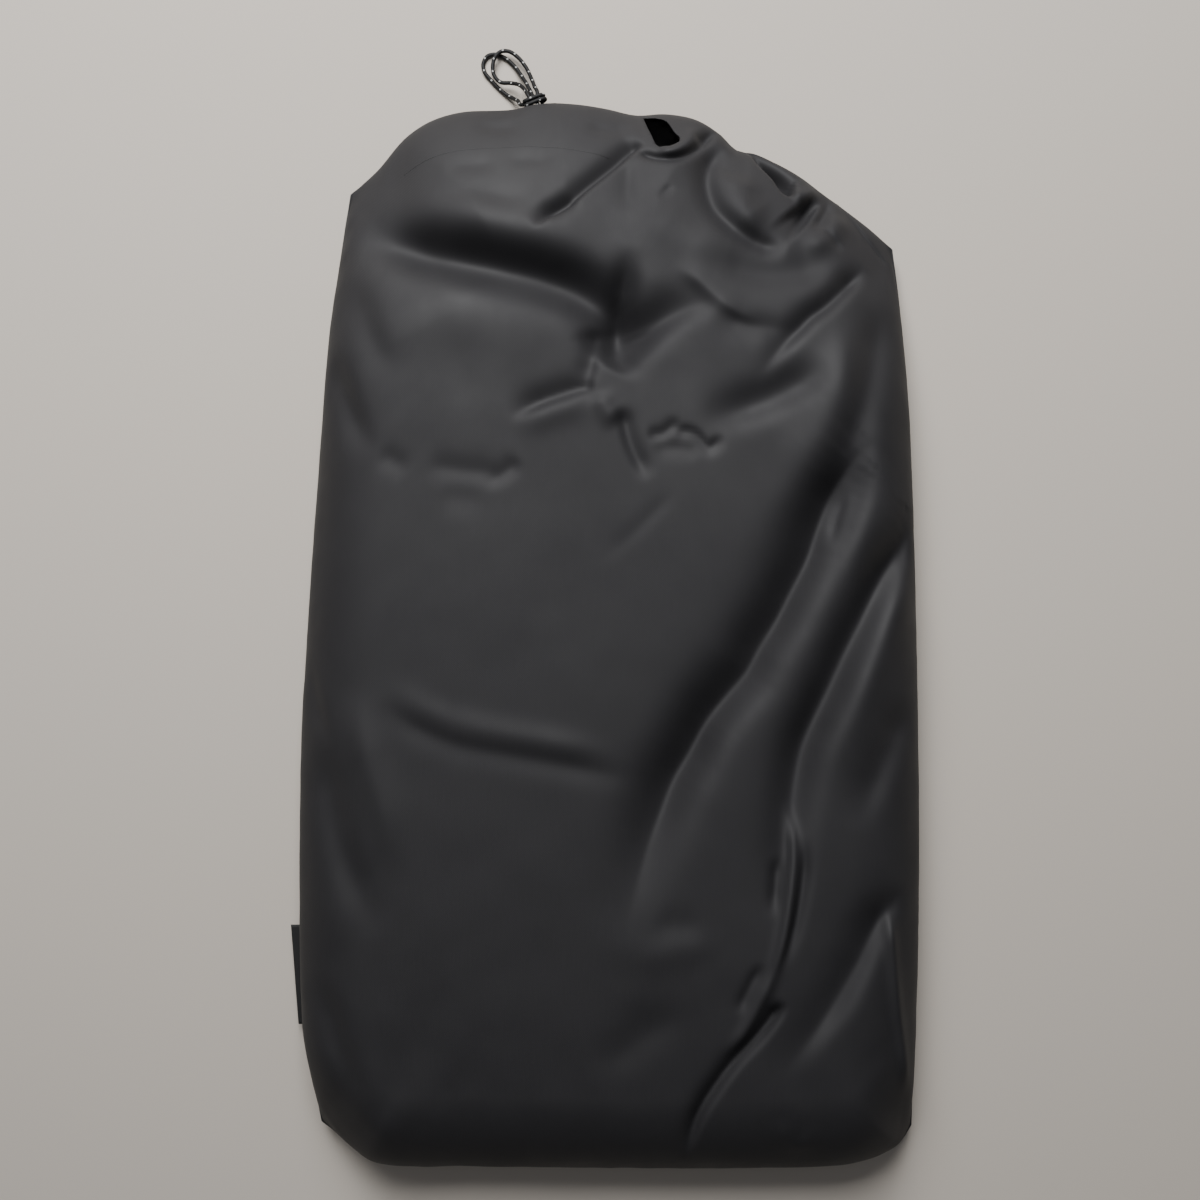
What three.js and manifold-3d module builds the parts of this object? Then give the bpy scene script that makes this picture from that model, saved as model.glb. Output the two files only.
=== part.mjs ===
// Film changing bag packed in its drawstring pouch, lying on its back.
// Millimetres, +Z up, +Y towards the pouch's mouth, origin under the middle of the pouch.

import * as THREE from 'three';
import { mergeVertices } from 'three/addons/utils/BufferGeometryUtils.js';
import Module from 'manifold-3d';

// ---- driving dimensions -------------------------------------------------------------

const GAP = 0.3; // clearance between pieces that touch
const CLOTH = 1.0; // thickness that a pouch panel is drawn with

const CROWN = 52; // height of the filled pouch
const SEAM_Z = 10; // height of the side and bottom seams
const FRONT_ROLL = 45; // how far in from a seam the front panel is still rising
const MOUTH_ROLL = 95; // the same, on the long slope down to the mouth
const BACK_ROLL = 14; // how far in from a seam the back panel is still off the floor

const HEM_DEPTH = 22; // drawcord tunnel, from its fold to its stitching
const HEM_HEIGHT = 7;
const BACK_HEM_Z = 4.5;

const CORD = 2; // drawcord diameter
const KNOT_LENGTH = 12;
const KNOT_RADIUS = 2.4;
const LEAD_LENGTH = 18.6; // each of the two strands inside the hem, behind the knot
const LEAD_SPACING = 2.8;

const LABEL_THICKNESS = 0.8;
const BINDING_WIDTH = 4.4;
const BINDING_THICKNESS = 1.2;
const BINDING_INSET = 6; // from the seam to the binding's middle

const LAYER = 3; // thickness of one folded layer of the changing bag
const FOLD_RADIUS = 7; // of the outer bag's folds
const LINING_OFFSET = 5; // from the outer bag to the inner bag
const BUNDLE_FROM_Y = -232;
const BUNDLE_TO_Y = 140;

const SLEEVE_Z = 42.1;
const SLEEVE_THICKNESS = 2.8;
const ELASTIC_WIDTH = 10;
const ELASTIC_WALL = 0.8;

const ZIP_X = -118.8; // middle of both zips
const ZIP_FROM_Y = -195;
const ZIP_TO_Y = 115;
const TAPE_WIDTH = 5.8; // each half
const TAPE_THICKNESS = 0.8;
const COIL_WIDTH = 1.6;
const COIL_HEIGHT = 0.6;
const ZIP_SLOT = 1.4; // between the two halves, where the slider's post runs
const SLIDER_LENGTH = 10;
const SLIDER_WIDTH = 7;
const SLIDER_PLATE = 0.7;
const SLIDER_TO_Y = 100; // with the zip closed
const PULL_LENGTH = 22;
const PULL_WIDTH = 5;
const STOP_WIDTH = 4.6;
const STOP_LENGTH = 2.4;
const STOP_HEIGHT = 1;
const STOP_Y = -191;

// ---- finishes -----------------------------------------------------------------------

const finish = (color, roughness, metalness = 0) => ({ color, roughness, metalness });
const NYLON = finish(0x2a292b, 0.55);
const LINING = finish(0x1b1b1d, 0.8);
const TAPE = finish(0x19191b, 0.75);
const CORD_BLACK = finish(0x151516, 0.7);
const LABEL = finish(0x121213, 0.8);
const ELASTIC = finish(0x202022, 0.85);
const METAL = finish(0x2f3032, 0.4, 0.9);

const model = new THREE.Group();

function add(name, geometry, look, place = [0, 0, 0]) {
  const mesh = new THREE.Mesh(geometry, new THREE.MeshStandardMaterial(look));
  mesh.name = name;
  mesh.position.set(...place);
  model.add(mesh);
  return mesh;
}

// ---- shapes -------------------------------------------------------------------------

// One closed solid between an upper and a lower surface, each a function of (s, t) from 0 to 1.
function sheetBetween(upper, lower, across, along) {
  const positions = [];
  const faces = [];
  const row = across + 1;
  const layer = row * (along + 1); // points in each surface
  for (const surface of [upper, lower]) {
    for (let j = 0; j <= along; j++) {
      for (let i = 0; i <= across; i++) {
        positions.push(...surface(i / across, j / along).toArray());
      }
    }
  }
  const quad = (a, b, c, d) => faces.push(a, b, c, a, c, d);
  for (let j = 0; j < along; j++) {
    for (let i = 0; i < across; i++) {
      const a = j * row + i;
      quad(a, a + 1, a + row + 1, a + row);
      quad(layer + a, layer + a + row, layer + a + row + 1, layer + a + 1);
    }
  }
  const wall = (a, b) => quad(layer + a, layer + b, b, a);
  for (let i = 0; i < across; i++) {
    wall(i, i + 1);
    wall(along * row + i + 1, along * row + i);
  }
  for (let j = 0; j < along; j++) {
    wall((j + 1) * row, j * row);
    wall(j * row + across, (j + 1) * row + across);
  }
  const geometry = new THREE.BufferGeometry();
  geometry.setAttribute('position', new THREE.Float32BufferAttribute(positions, 3));
  geometry.setIndex(faces);
  geometry.computeVertexNormals();
  return geometry;
}

const curve2 = (...points) => new THREE.SplineCurve(points.map((p) => new THREE.Vector2(...p)));

const curve3 = (...points) =>
  new THREE.CatmullRomCurve3(points.map((p) => new THREE.Vector3(...p)), false, 'centripetal');

function alongPath(shape, path, steps, curveSegments) {
  return new THREE.ExtrudeGeometry(shape, { steps, extrudePath: path, curveSegments });
}

function ellipse(halfX, halfY, PathType = THREE.Shape) {
  const shape = new PathType();
  shape.absellipse(0, 0, halfX, halfY, 0, 2 * Math.PI, false, 0);
  return shape;
}

function polygon(points) {
  return new THREE.Shape(points.map((p) => new THREE.Vector2(...p)));
}

function prism(shape, depth) {
  return new THREE.ExtrudeGeometry(shape, { depth, bevelEnabled: false, curveSegments: 4 });
}

// A profile in X and Z, drawn out along Y from fromY to toY.
function drawnAlongY(points, fromY, toY) {
  const geometry = prism(polygon(points), toY - fromY);
  geometry.rotateX(Math.PI / 2);
  geometry.translate(0, toY, 0);
  return geometry;
}

const wasm = await Module();
wasm.setup();

function asManifold(geometry) {
  const bare = geometry.clone();
  bare.deleteAttribute('normal');
  bare.deleteAttribute('uv');
  const merged = mergeVertices(bare, 1e-4);
  const vertProperties = Float32Array.from(merged.attributes.position.array);
  const triVerts = Uint32Array.from(merged.index.array);
  return new wasm.Manifold(new wasm.Mesh({ numProp: 3, vertProperties, triVerts }));
}

// geometry with each tool cut away; only the main body is kept.
function cut(geometry, ...tools) {
  let solid = asManifold(geometry);
  for (const tool of tools) solid = solid.subtract(asManifold(tool));
  const bodies = solid.decompose().sort((a, b) => b.volume() - a.volume());
  const mesh = bodies[0].getMesh();
  const result = new THREE.BufferGeometry();
  result.setAttribute('position', new THREE.BufferAttribute(mesh.vertProperties, 3));
  result.setIndex(new THREE.BufferAttribute(mesh.triVerts, 1));
  result.computeVertexNormals();
  return result;
}

// ---- pouch panels -------------------------------------------------------------------

const LEFT_EDGE = curve2([-141, -244], [-150.5, -190], [-150.5, -50], [-141, 94], [-130, 198]);
const RIGHT_EDGE = curve2([154.5, -246], [157.5, -134], [157, -44], [153.5, 91], [147.5, 170]);
const BOTTOM_EDGE = curve2([-141, -244], [-113.5, -262.6], [8, -265.2], [118.5, -263.8], [154.5, -246]);
const FRONT_TOP_EDGE = curve2(
  [-130, 198], [-86, 231], [-62, 239], [-22, 242], [5, 236], [26, 224], [44, 232], [56, 226],
  [98, 202], [147.5, 170],
);
const BACK_TOP_EDGE = curve2(
  [-130, 198], [-86, 231], [-62, 239], [-22, 242.5], [26, 237], [56, 226], [98, 202], [147.5, 170],
);

// The point of a panel at (s, t): its four edges blended into one patch.
function onPanel(topEdge, s, t) {
  const low = BOTTOM_EDGE.getPointAt(s);
  const high = topEdge.getPointAt(s);
  const left = LEFT_EDGE.getPointAt(t);
  const right = RIGHT_EDGE.getPointAt(t);
  const mix = (a, b, c, d) => (1 - s) * (1 - t) * a + s * (1 - t) * b + (1 - s) * t * c + s * t * d;
  const corners = [BOTTOM_EDGE, topEdge].flatMap((edge) => [edge.getPointAt(0), edge.getPointAt(1)]);
  const blend = (axis) =>
    (1 - t) * low[axis] + t * high[axis] + (1 - s) * left[axis] + s * right[axis] -
    mix(...corners.map((corner) => corner[axis]));
  return {
    x: blend('x'),
    y: blend('y'),
    fromSide: Math.min(s, 1 - s) * left.distanceTo(right),
    fromBottom: t * low.distanceTo(high),
    fromMouth: (1 - t) * low.distanceTo(high),
  };
}

// 0 at a seam, rising as a quarter circle to 1 at a distance of roll from it.
const roll = (distance, rollWidth) => Math.sqrt(1 - (1 - Math.min(distance / rollWidth, 1)) ** 2);

const closerAtEdges = (s) => (1 - Math.cos(Math.PI * s)) / 2;

const insetX = 1 - CLOTH / 154;
const insetY = 1 - CLOTH / 266;

function frontSurface(inner) {
  return (i, j) => {
    const at = onPanel(FRONT_TOP_EDGE, closerAtEdges(i), closerAtEdges(j));
    const side = roll(at.fromSide, FRONT_ROLL);
    const ends = roll(at.fromBottom, FRONT_ROLL);
    const mouth = roll(at.fromMouth, MOUTH_ROLL);
    const lip = side * (frontHemZ(at.x) - SEAM_Z) * (1 - mouth);
    const height = (CROWN - SEAM_Z - (inner ? CLOTH : 0)) * side * ends * mouth;
    const z = SEAM_Z + GAP / 2 + height + lip - (inner ? CLOTH * side * (1 - mouth) : 0);
    return new THREE.Vector3(at.x * (inner ? insetX : 1), at.y * (inner ? insetY : 1), z);
  };
}

function backSurface(inner) {
  return (i, j) => {
    const at = onPanel(BACK_TOP_EDGE, closerAtEdges(i), closerAtEdges(j));
    const edge = SEAM_Z - GAP / 2;
    const down = roll(at.fromSide, BACK_ROLL) * roll(at.fromBottom, BACK_ROLL);
    const atMouth = (BACK_HEM_Z - CLOTH / 2) * (1 - roll(at.fromMouth, BACK_ROLL));
    const z = Math.max(edge * (1 - down), atMouth * down) + (inner ? CLOTH * down : 0);
    return new THREE.Vector3(at.x * (inner ? insetX : 1), at.y * (inner ? insetY : 1), z);
  };
}

// ---- mouth hems and drawcord --------------------------------------------------------

const FRONT_HEM_POINTS = [
  [-128.5, 209, 12.2], [-93, 240.5, 12.6], [-66, 250.8, 13], [-34, 251.5, 13.5], [-16, 253.5, 14.2],
  [6, 247.5, 16.8], [26, 235.5, 21], [44, 243.5, 17.6], [61, 237, 13.8], [104, 213, 12.8], [146, 181, 12.2],
];
const BACK_HEM_POINTS = [
  [-128.5, 209], [-93, 240.5], [-66, 250.8], [-34, 251.5], [-16, 254.5], [26, 249], [44, 246.5],
  [61, 237], [104, 213], [146, 181],
].map(([x, y]) => [x, y, BACK_HEM_Z]);
const FRONT_HEM = curve3(...FRONT_HEM_POINTS);
const BACK_HEM = curve3(...BACK_HEM_POINTS);

const FRONT_HEM_SAMPLES = FRONT_HEM.getSpacedPoints(80);

function frontHemZ(x) {
  let nearest = FRONT_HEM_SAMPLES[0];
  for (const point of FRONT_HEM_SAMPLES) {
    if (Math.abs(point.x - x) < Math.abs(nearest.x - x)) nearest = point;
  }
  return nearest.z;
}

// A flat tunnel of cloth, open at both ends; its section lies across the path with its height upright.
function hemTunnel(path) {
  const section = ellipse(HEM_HEIGHT / 2, HEM_DEPTH / 2);
  section.holes.push(ellipse(HEM_HEIGHT / 2 - CLOTH, HEM_DEPTH / 2 - CLOTH, THREE.Path));
  return alongPath(section, path, 30, 6);
}

// The room that a hem takes up, for cutting the panel that ends at it.
const hemEnvelope = (path) => alongPath(ellipse(HEM_HEIGHT / 2 + GAP, HEM_DEPTH / 2 + GAP), path, 30, 6);

const KNOT_AT = new THREE.Vector3(-34, 265.9, 13.5);
const KNOT_AXIS = new THREE.Vector3(0.91, 0.41, 0).normalize();

// The opening in the front hem's fold that both strands of the cord leave through.
function cordExitCutter() {
  const depth = 8;
  const box = new THREE.BoxGeometry(9, depth, 3.4);
  box.translate(KNOT_AT.x, KNOT_AT.y - depth / 2 - 0.5, KNOT_AT.z);
  return box;
}

function cordAlong(path, steps) {
  return alongPath(ellipse(CORD / 2, CORD / 2), path, steps, 4);
}

// The stretch held inside the hem: right from the exit through the front tunnel, back through the
// back tunnel, and round the left end to the exit again.
const HEM_TURN_Z = 8.4;
const CORD_IN_HEM = curve3(
  [-27.5, 252.2, KNOT_AT.z],
  ...FRONT_HEM_POINTS.slice(4),
  [151, 177, HEM_TURN_Z],
  ...BACK_HEM_POINTS.toReversed(),
  [-133, 205.5, HEM_TURN_Z],
  ...FRONT_HEM_POINTS.slice(0, 3),
  [-41, 251.5, 13.4],
);

const LOOP_ONE = curve3(
  [-32.7, 269.9, 13.3], [-34.2, 273.9, 10.6], [-36, 279.4, 7.2], [-39, 286.4, 4.4], [-43, 291.6, 3.7],
  [-47.6, 294.6, 3.7], [-51.7, 294.5, 3.7], [-54.6, 291.7, 3.7], [-55.8, 287.2, 3.7], [-55, 282.3, 3.7],
  [-51.8, 279, 3.8], [-46.6, 278.3, 4.4], [-42.8, 276.7, 6.6], [-39.6, 273, 10.2], [-37.6, 269.1, 12.9],
);
const LOOP_TWO = curve3(
  [-35, 268.6, 10.9], [-37.3, 274.5, 7.6], [-40.8, 281.7, 3.6], [-44.6, 287.7, 1.5], [-49.2, 292, 1.1],
  [-54.4, 294.2, 1.1], [-58.8, 293.2, 1.1], [-60.9, 289.3, 1.1], [-60, 285, 1.1], [-57, 281.3, 1.1],
  [-53.4, 277.4, 1.1], [-49.4, 273.9, 1.4], [-45.6, 271.2, 3], [-42.8, 268.4, 6.4], [-41.2, 264.8, 10.8],
);

// ---- the folded changing bag --------------------------------------------------------

const RIGHT_FOLD_X = 118;
const LEFT_FOLD_X = -97;
const FREE_EDGE_X = -112;
const TOP_EDGE_X = 108;
const FIRST_LAYER_Z = 6;

// The bag is folded in three: left edge, right fold, left fold, top right edge. The profile is its
// middle line moved sideways by offset, with a thickness of LAYER.
function foldedInThree(offset) {
  const side = (shift) => {
    const points = [];
    const right = FOLD_RADIUS - shift;
    const left = FOLD_RADIUS + shift;
    const rightMiddle = FIRST_LAYER_Z + FOLD_RADIUS;
    const leftMiddle = FIRST_LAYER_Z + 3 * FOLD_RADIUS;
    const arcSteps = 8;
    points.push([FREE_EDGE_X, FIRST_LAYER_Z + shift]);
    for (let i = 0; i <= arcSteps; i++) {
      const angle = -Math.PI / 2 + (Math.PI * i) / arcSteps;
      points.push([RIGHT_FOLD_X + right * Math.cos(angle), rightMiddle + right * Math.sin(angle)]);
    }
    for (let i = 0; i <= arcSteps; i++) {
      const angle = -Math.PI / 2 - (Math.PI * i) / arcSteps;
      points.push([LEFT_FOLD_X + left * Math.cos(angle), leftMiddle + left * Math.sin(angle)]);
    }
    points.push([TOP_EDGE_X, leftMiddle + left]);
    return points;
  };
  const profile = [...side(offset - LAYER / 2), ...side(offset + LAYER / 2).reverse()];
  return drawnAlongY(profile, BUNDLE_FROM_Y, BUNDLE_TO_Y);
}

// An arm sleeve folded back over the bundle: wide where it is sewn on, narrow at the cuff.
function sleeve(middleY) {
  const outline = polygon([[104, -78], [104, 78], [-60, 62], [-102, 46], [-102, -46], [-60, -62]]);
  const geometry = prism(outline, SLEEVE_THICKNESS);
  geometry.translate(0, middleY, SLEEVE_Z);
  return geometry;
}

function elasticRound(halfWidth, fromX, middleY) {
  const halfHeight = SLEEVE_THICKNESS / 2 + GAP;
  const rectangle = (halfY, halfZ) => [[-halfZ, -halfY], [halfZ, -halfY], [halfZ, halfY], [-halfZ, halfY]];
  const ring = polygon(rectangle(halfWidth + GAP + ELASTIC_WALL, halfHeight + ELASTIC_WALL));
  ring.holes.push(polygon(rectangle(halfWidth + GAP, halfHeight)));
  const geometry = prism(ring, ELASTIC_WIDTH);
  geometry.rotateY(Math.PI / 2);
  geometry.translate(fromX, middleY, SLEEVE_Z + SLEEVE_THICKNESS / 2);
  return geometry;
}

// ---- zips ---------------------------------------------------------------------------

const TAPE_TOP = TAPE_THICKNESS / 2;

// side is 1 for the half sewn to the bag and -1 for the other.
function zipTape(side) {
  const near = (side * ZIP_SLOT) / 2;
  const far = near + side * TAPE_WIDTH;
  const points = [
    [near, -TAPE_TOP], [far, -TAPE_TOP], [far, TAPE_TOP], [near + side * COIL_WIDTH, TAPE_TOP],
    [near + side * COIL_WIDTH, TAPE_TOP + COIL_HEIGHT], [near, TAPE_TOP + COIL_HEIGHT],
  ];
  return drawnAlongY(side > 0 ? points : points.reverse(), ZIP_FROM_Y, ZIP_TO_Y);
}

const SLIDER_TOP = TAPE_TOP + COIL_HEIGHT + GAP;
const SLIDER_BOTTOM = -TAPE_TOP - GAP;

function zipSlider() {
  const wide = SLIDER_WIDTH / 2;
  const post = ZIP_SLOT / 2 - GAP;
  const section = [
    [-wide, SLIDER_BOTTOM - SLIDER_PLATE], [wide, SLIDER_BOTTOM - SLIDER_PLATE], [wide, SLIDER_BOTTOM],
    [post, SLIDER_BOTTOM], [post, SLIDER_TOP], [wide, SLIDER_TOP], [wide, SLIDER_TOP + SLIDER_PLATE],
    [-wide, SLIDER_TOP + SLIDER_PLATE], [-wide, SLIDER_TOP], [-post, SLIDER_TOP], [-post, SLIDER_BOTTOM],
    [-wide, SLIDER_BOTTOM],
  ];
  return drawnAlongY(section, SLIDER_TO_Y - SLIDER_LENGTH, SLIDER_TO_Y);
}

function zipPull() {
  const box = new THREE.BoxGeometry(PULL_WIDTH, PULL_LENGTH, SLIDER_PLATE);
  const pullToY = SLIDER_TO_Y - SLIDER_LENGTH - GAP;
  box.translate(0, pullToY - PULL_LENGTH / 2, SLIDER_TOP + SLIDER_PLATE / 2);
  return box;
}

function zipStop() {
  const box = new THREE.BoxGeometry(STOP_WIDTH, STOP_LENGTH, STOP_HEIGHT);
  box.translate(0, STOP_Y, SLIDER_TOP + STOP_HEIGHT / 2);
  return box;
}

function addZip(name, z) {
  const place = [ZIP_X, 0, z];
  add(`${name}_zip_tape_inner_half`, zipTape(1), TAPE, place);
  add(`${name}_zip_tape_outer_half`, zipTape(-1), TAPE, place);
  add(`${name}_zip_slider`, zipSlider(), METAL, place);
  add(`${name}_zip_pull_tab`, zipPull(), METAL, place);
  add(`${name}_zip_end_stop`, zipStop(), METAL, place);
}

// ---- seams and label ----------------------------------------------------------------

// A narrow tape sewn over the raw edges, just inside a seam.
function seamBinding(edge, inward, from, to, steps) {
  const points = [];
  const count = 12;
  for (let i = 0; i <= count; i++) {
    const at = edge.getPointAt(from + ((to - from) * i) / count);
    points.push([at.x + inward[0], at.y + inward[1], SEAM_Z]);
  }
  const halfUp = BINDING_THICKNESS / 2;
  const halfAcross = BINDING_WIDTH / 2;
  const strip = polygon([
    [-halfUp, -halfAcross], [halfUp, -halfAcross], [halfUp, halfAcross], [-halfUp, halfAcross],
  ]);
  return alongPath(strip, curve3(...points), steps, 4);
}

const LABEL_ROOT_X = -150.8;
const LABEL_ROOT_Z = 5;
const LABEL_FROM_Y = -197;
const LABEL_TO_Y = -147;

function sideLabel() {
  const outline = polygon([
    [LABEL_ROOT_X, LABEL_FROM_Y], [LABEL_ROOT_X, LABEL_TO_Y], [-157.5, LABEL_TO_Y], [-153.6, LABEL_FROM_Y],
  ]);
  return prism(outline, LABEL_THICKNESS);
}

// ---- assembly -----------------------------------------------------------------------

const hemRoom = [hemEnvelope(FRONT_HEM), hemEnvelope(BACK_HEM)];
const frontPanel = sheetBetween(frontSurface(false), frontSurface(true), 24, 32);
const backPanel = sheetBetween(backSurface(true), backSurface(false), 20, 26);
add('pouch_front_panel', cut(frontPanel, ...hemRoom), NYLON);
add('pouch_back_panel', cut(backPanel, ...hemRoom), NYLON);
add('side_seam_binding_left', seamBinding(LEFT_EDGE, [BINDING_INSET, 0], 0.04, 0.97, 16), TAPE);
add('side_seam_binding_right', seamBinding(RIGHT_EDGE, [-BINDING_INSET, 0], 0.04, 0.97, 16), TAPE);
add('bottom_seam_binding', seamBinding(BOTTOM_EDGE, [0, BINDING_INSET], 0.14, 0.9, 12), TAPE);
add('side_label', sideLabel(), LABEL, [0, 0, LABEL_ROOT_Z - LABEL_THICKNESS / 2]);

add('mouth_hem_front', cut(hemTunnel(FRONT_HEM), cordExitCutter()), NYLON);
add('mouth_hem_back', hemTunnel(BACK_HEM), NYLON);
add('drawcord_in_hem', cordAlong(CORD_IN_HEM, 80), CORD_BLACK);

// The knot lies askew, so each lead ends where its own side of the knot begins.
for (const [name, side] of [['left', -1], ['right', 1]]) {
  const x = KNOT_AT.x + (side * LEAD_SPACING) / 2;
  const nearX = KNOT_AT.x + side * LEAD_SPACING / 2 - CORD / 2;
  const middleY = KNOT_AT.y + ((nearX - KNOT_AT.x) * KNOT_AXIS.y) / KNOT_AXIS.x;
  const leadTo = middleY - KNOT_RADIUS / KNOT_AXIS.x - GAP;
  const lead = curve3([x, leadTo - LEAD_LENGTH, KNOT_AT.z], [x, leadTo, KNOT_AT.z]);
  add(`drawcord_lead_${name}`, cordAlong(lead, 4), CORD_BLACK);
}

const knotShape = new THREE.CapsuleGeometry(KNOT_RADIUS, KNOT_LENGTH - 2 * KNOT_RADIUS, 4, 12);
const knot = add('drawcord_knot', knotShape, CORD_BLACK);
knot.quaternion.setFromUnitVectors(new THREE.Vector3(0, 1, 0), KNOT_AXIS);
knot.position.copy(KNOT_AT);
add('drawcord_loop_upper', cordAlong(LOOP_ONE, 26), CORD_BLACK);
add('drawcord_loop_lower', cordAlong(LOOP_TWO, 26), CORD_BLACK);

add('changing_bag_outer', foldedInThree(0), NYLON);
add('changing_bag_lining', foldedInThree(LINING_OFFSET), LINING);

for (const [name, middleY] of [['left', 55], ['right', -138]]) {
  add(`arm_sleeve_${name}`, sleeve(middleY), NYLON);
  add(`wrist_elastic_${name}`, elasticRound(52.4, -96, middleY), ELASTIC);
  add(`forearm_elastic_${name}`, elasticRound(66, -50, middleY), ELASTIC);
}

addZip('outer', FIRST_LAYER_Z);
addZip('inner', FIRST_LAYER_Z + LINING_OFFSET);

export default model;
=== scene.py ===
"""Film changing bag packed in its drawstring pouch: the looks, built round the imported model."""

import math

import bmesh
import bpy
import numpy as np
from bpy.props import FloatProperty, FloatVectorProperty, IntProperty, PointerProperty
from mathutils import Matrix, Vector
from mathutils.bvhtree import BVHTree


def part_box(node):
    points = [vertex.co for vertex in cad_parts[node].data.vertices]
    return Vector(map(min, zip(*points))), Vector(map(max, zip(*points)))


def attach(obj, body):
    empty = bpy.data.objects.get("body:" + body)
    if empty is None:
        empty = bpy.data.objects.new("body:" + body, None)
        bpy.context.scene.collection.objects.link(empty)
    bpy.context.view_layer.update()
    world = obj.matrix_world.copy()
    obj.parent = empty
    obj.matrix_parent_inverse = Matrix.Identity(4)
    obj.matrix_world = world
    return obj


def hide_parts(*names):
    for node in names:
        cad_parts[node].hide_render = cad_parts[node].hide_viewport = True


bl_info = {
    "name": "Changing Bag Pouch",
    "version": (1, 0, 0),
    "blender": (4, 5, 0),
    "location": "View3D > Sidebar > Pouch",
    "description": "Builds a drawstring pouch with a folded changing bag inside it",
    "category": "Add Mesh",
}

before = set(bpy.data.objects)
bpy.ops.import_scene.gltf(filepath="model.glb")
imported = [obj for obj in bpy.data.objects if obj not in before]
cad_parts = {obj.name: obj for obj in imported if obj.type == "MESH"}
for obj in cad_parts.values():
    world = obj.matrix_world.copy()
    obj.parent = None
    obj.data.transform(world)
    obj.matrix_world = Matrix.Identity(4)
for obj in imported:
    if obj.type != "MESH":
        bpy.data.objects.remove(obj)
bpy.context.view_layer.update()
MM = 0.001

# The camera looks straight down this upright line. Folds are drawn as it sees them, against the
# plane at the height DRAWN_AT. Millimetres.
VIEW_AXIS = np.array([-1.5, 17.0])
VIEW_HEIGHT = 626.3
DRAWN_AT = 11.2

# ---- the pouch's outline and folds, in millimetres from the frame's origin ------------

LEFT_EDGE = [(-141, -244), (-146, -218), (-150, -190), (-150.7, -60), (-148, -6), (-141, 94), (-136.5, 150),
             (-131.5, 188), (-126.5, 220)]
RIGHT_EDGE = [(154.5, -246), (157.3, -134), (157, -44), (153.5, 91), (149, 160), (145, 192.5)]
BOTTOM_EDGE = [(-141, -244), (-128, -253.5), (-113.5, -262.3), (-60, -264.4), (8, -265.3), (90, -265),
               (118.5, -263.6), (139, -259), (149, -254), (154.5, -246)]
MOUTH_EDGE = [(-126.5, 220), (-113, 232), (-98, 249), (-84, 257.5), (-70, 261.2), (-41, 262.2), (-33, 263),
              (-23.5, 265.4), (0, 263.2), (16.5, 259.6), (31, 260.2), (46, 257.5), (58, 250.5), (67, 242),
              (76, 240.6), (95, 231), (111, 219.5), (126, 208.5), (137, 199.7), (145, 192.5)]

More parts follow.
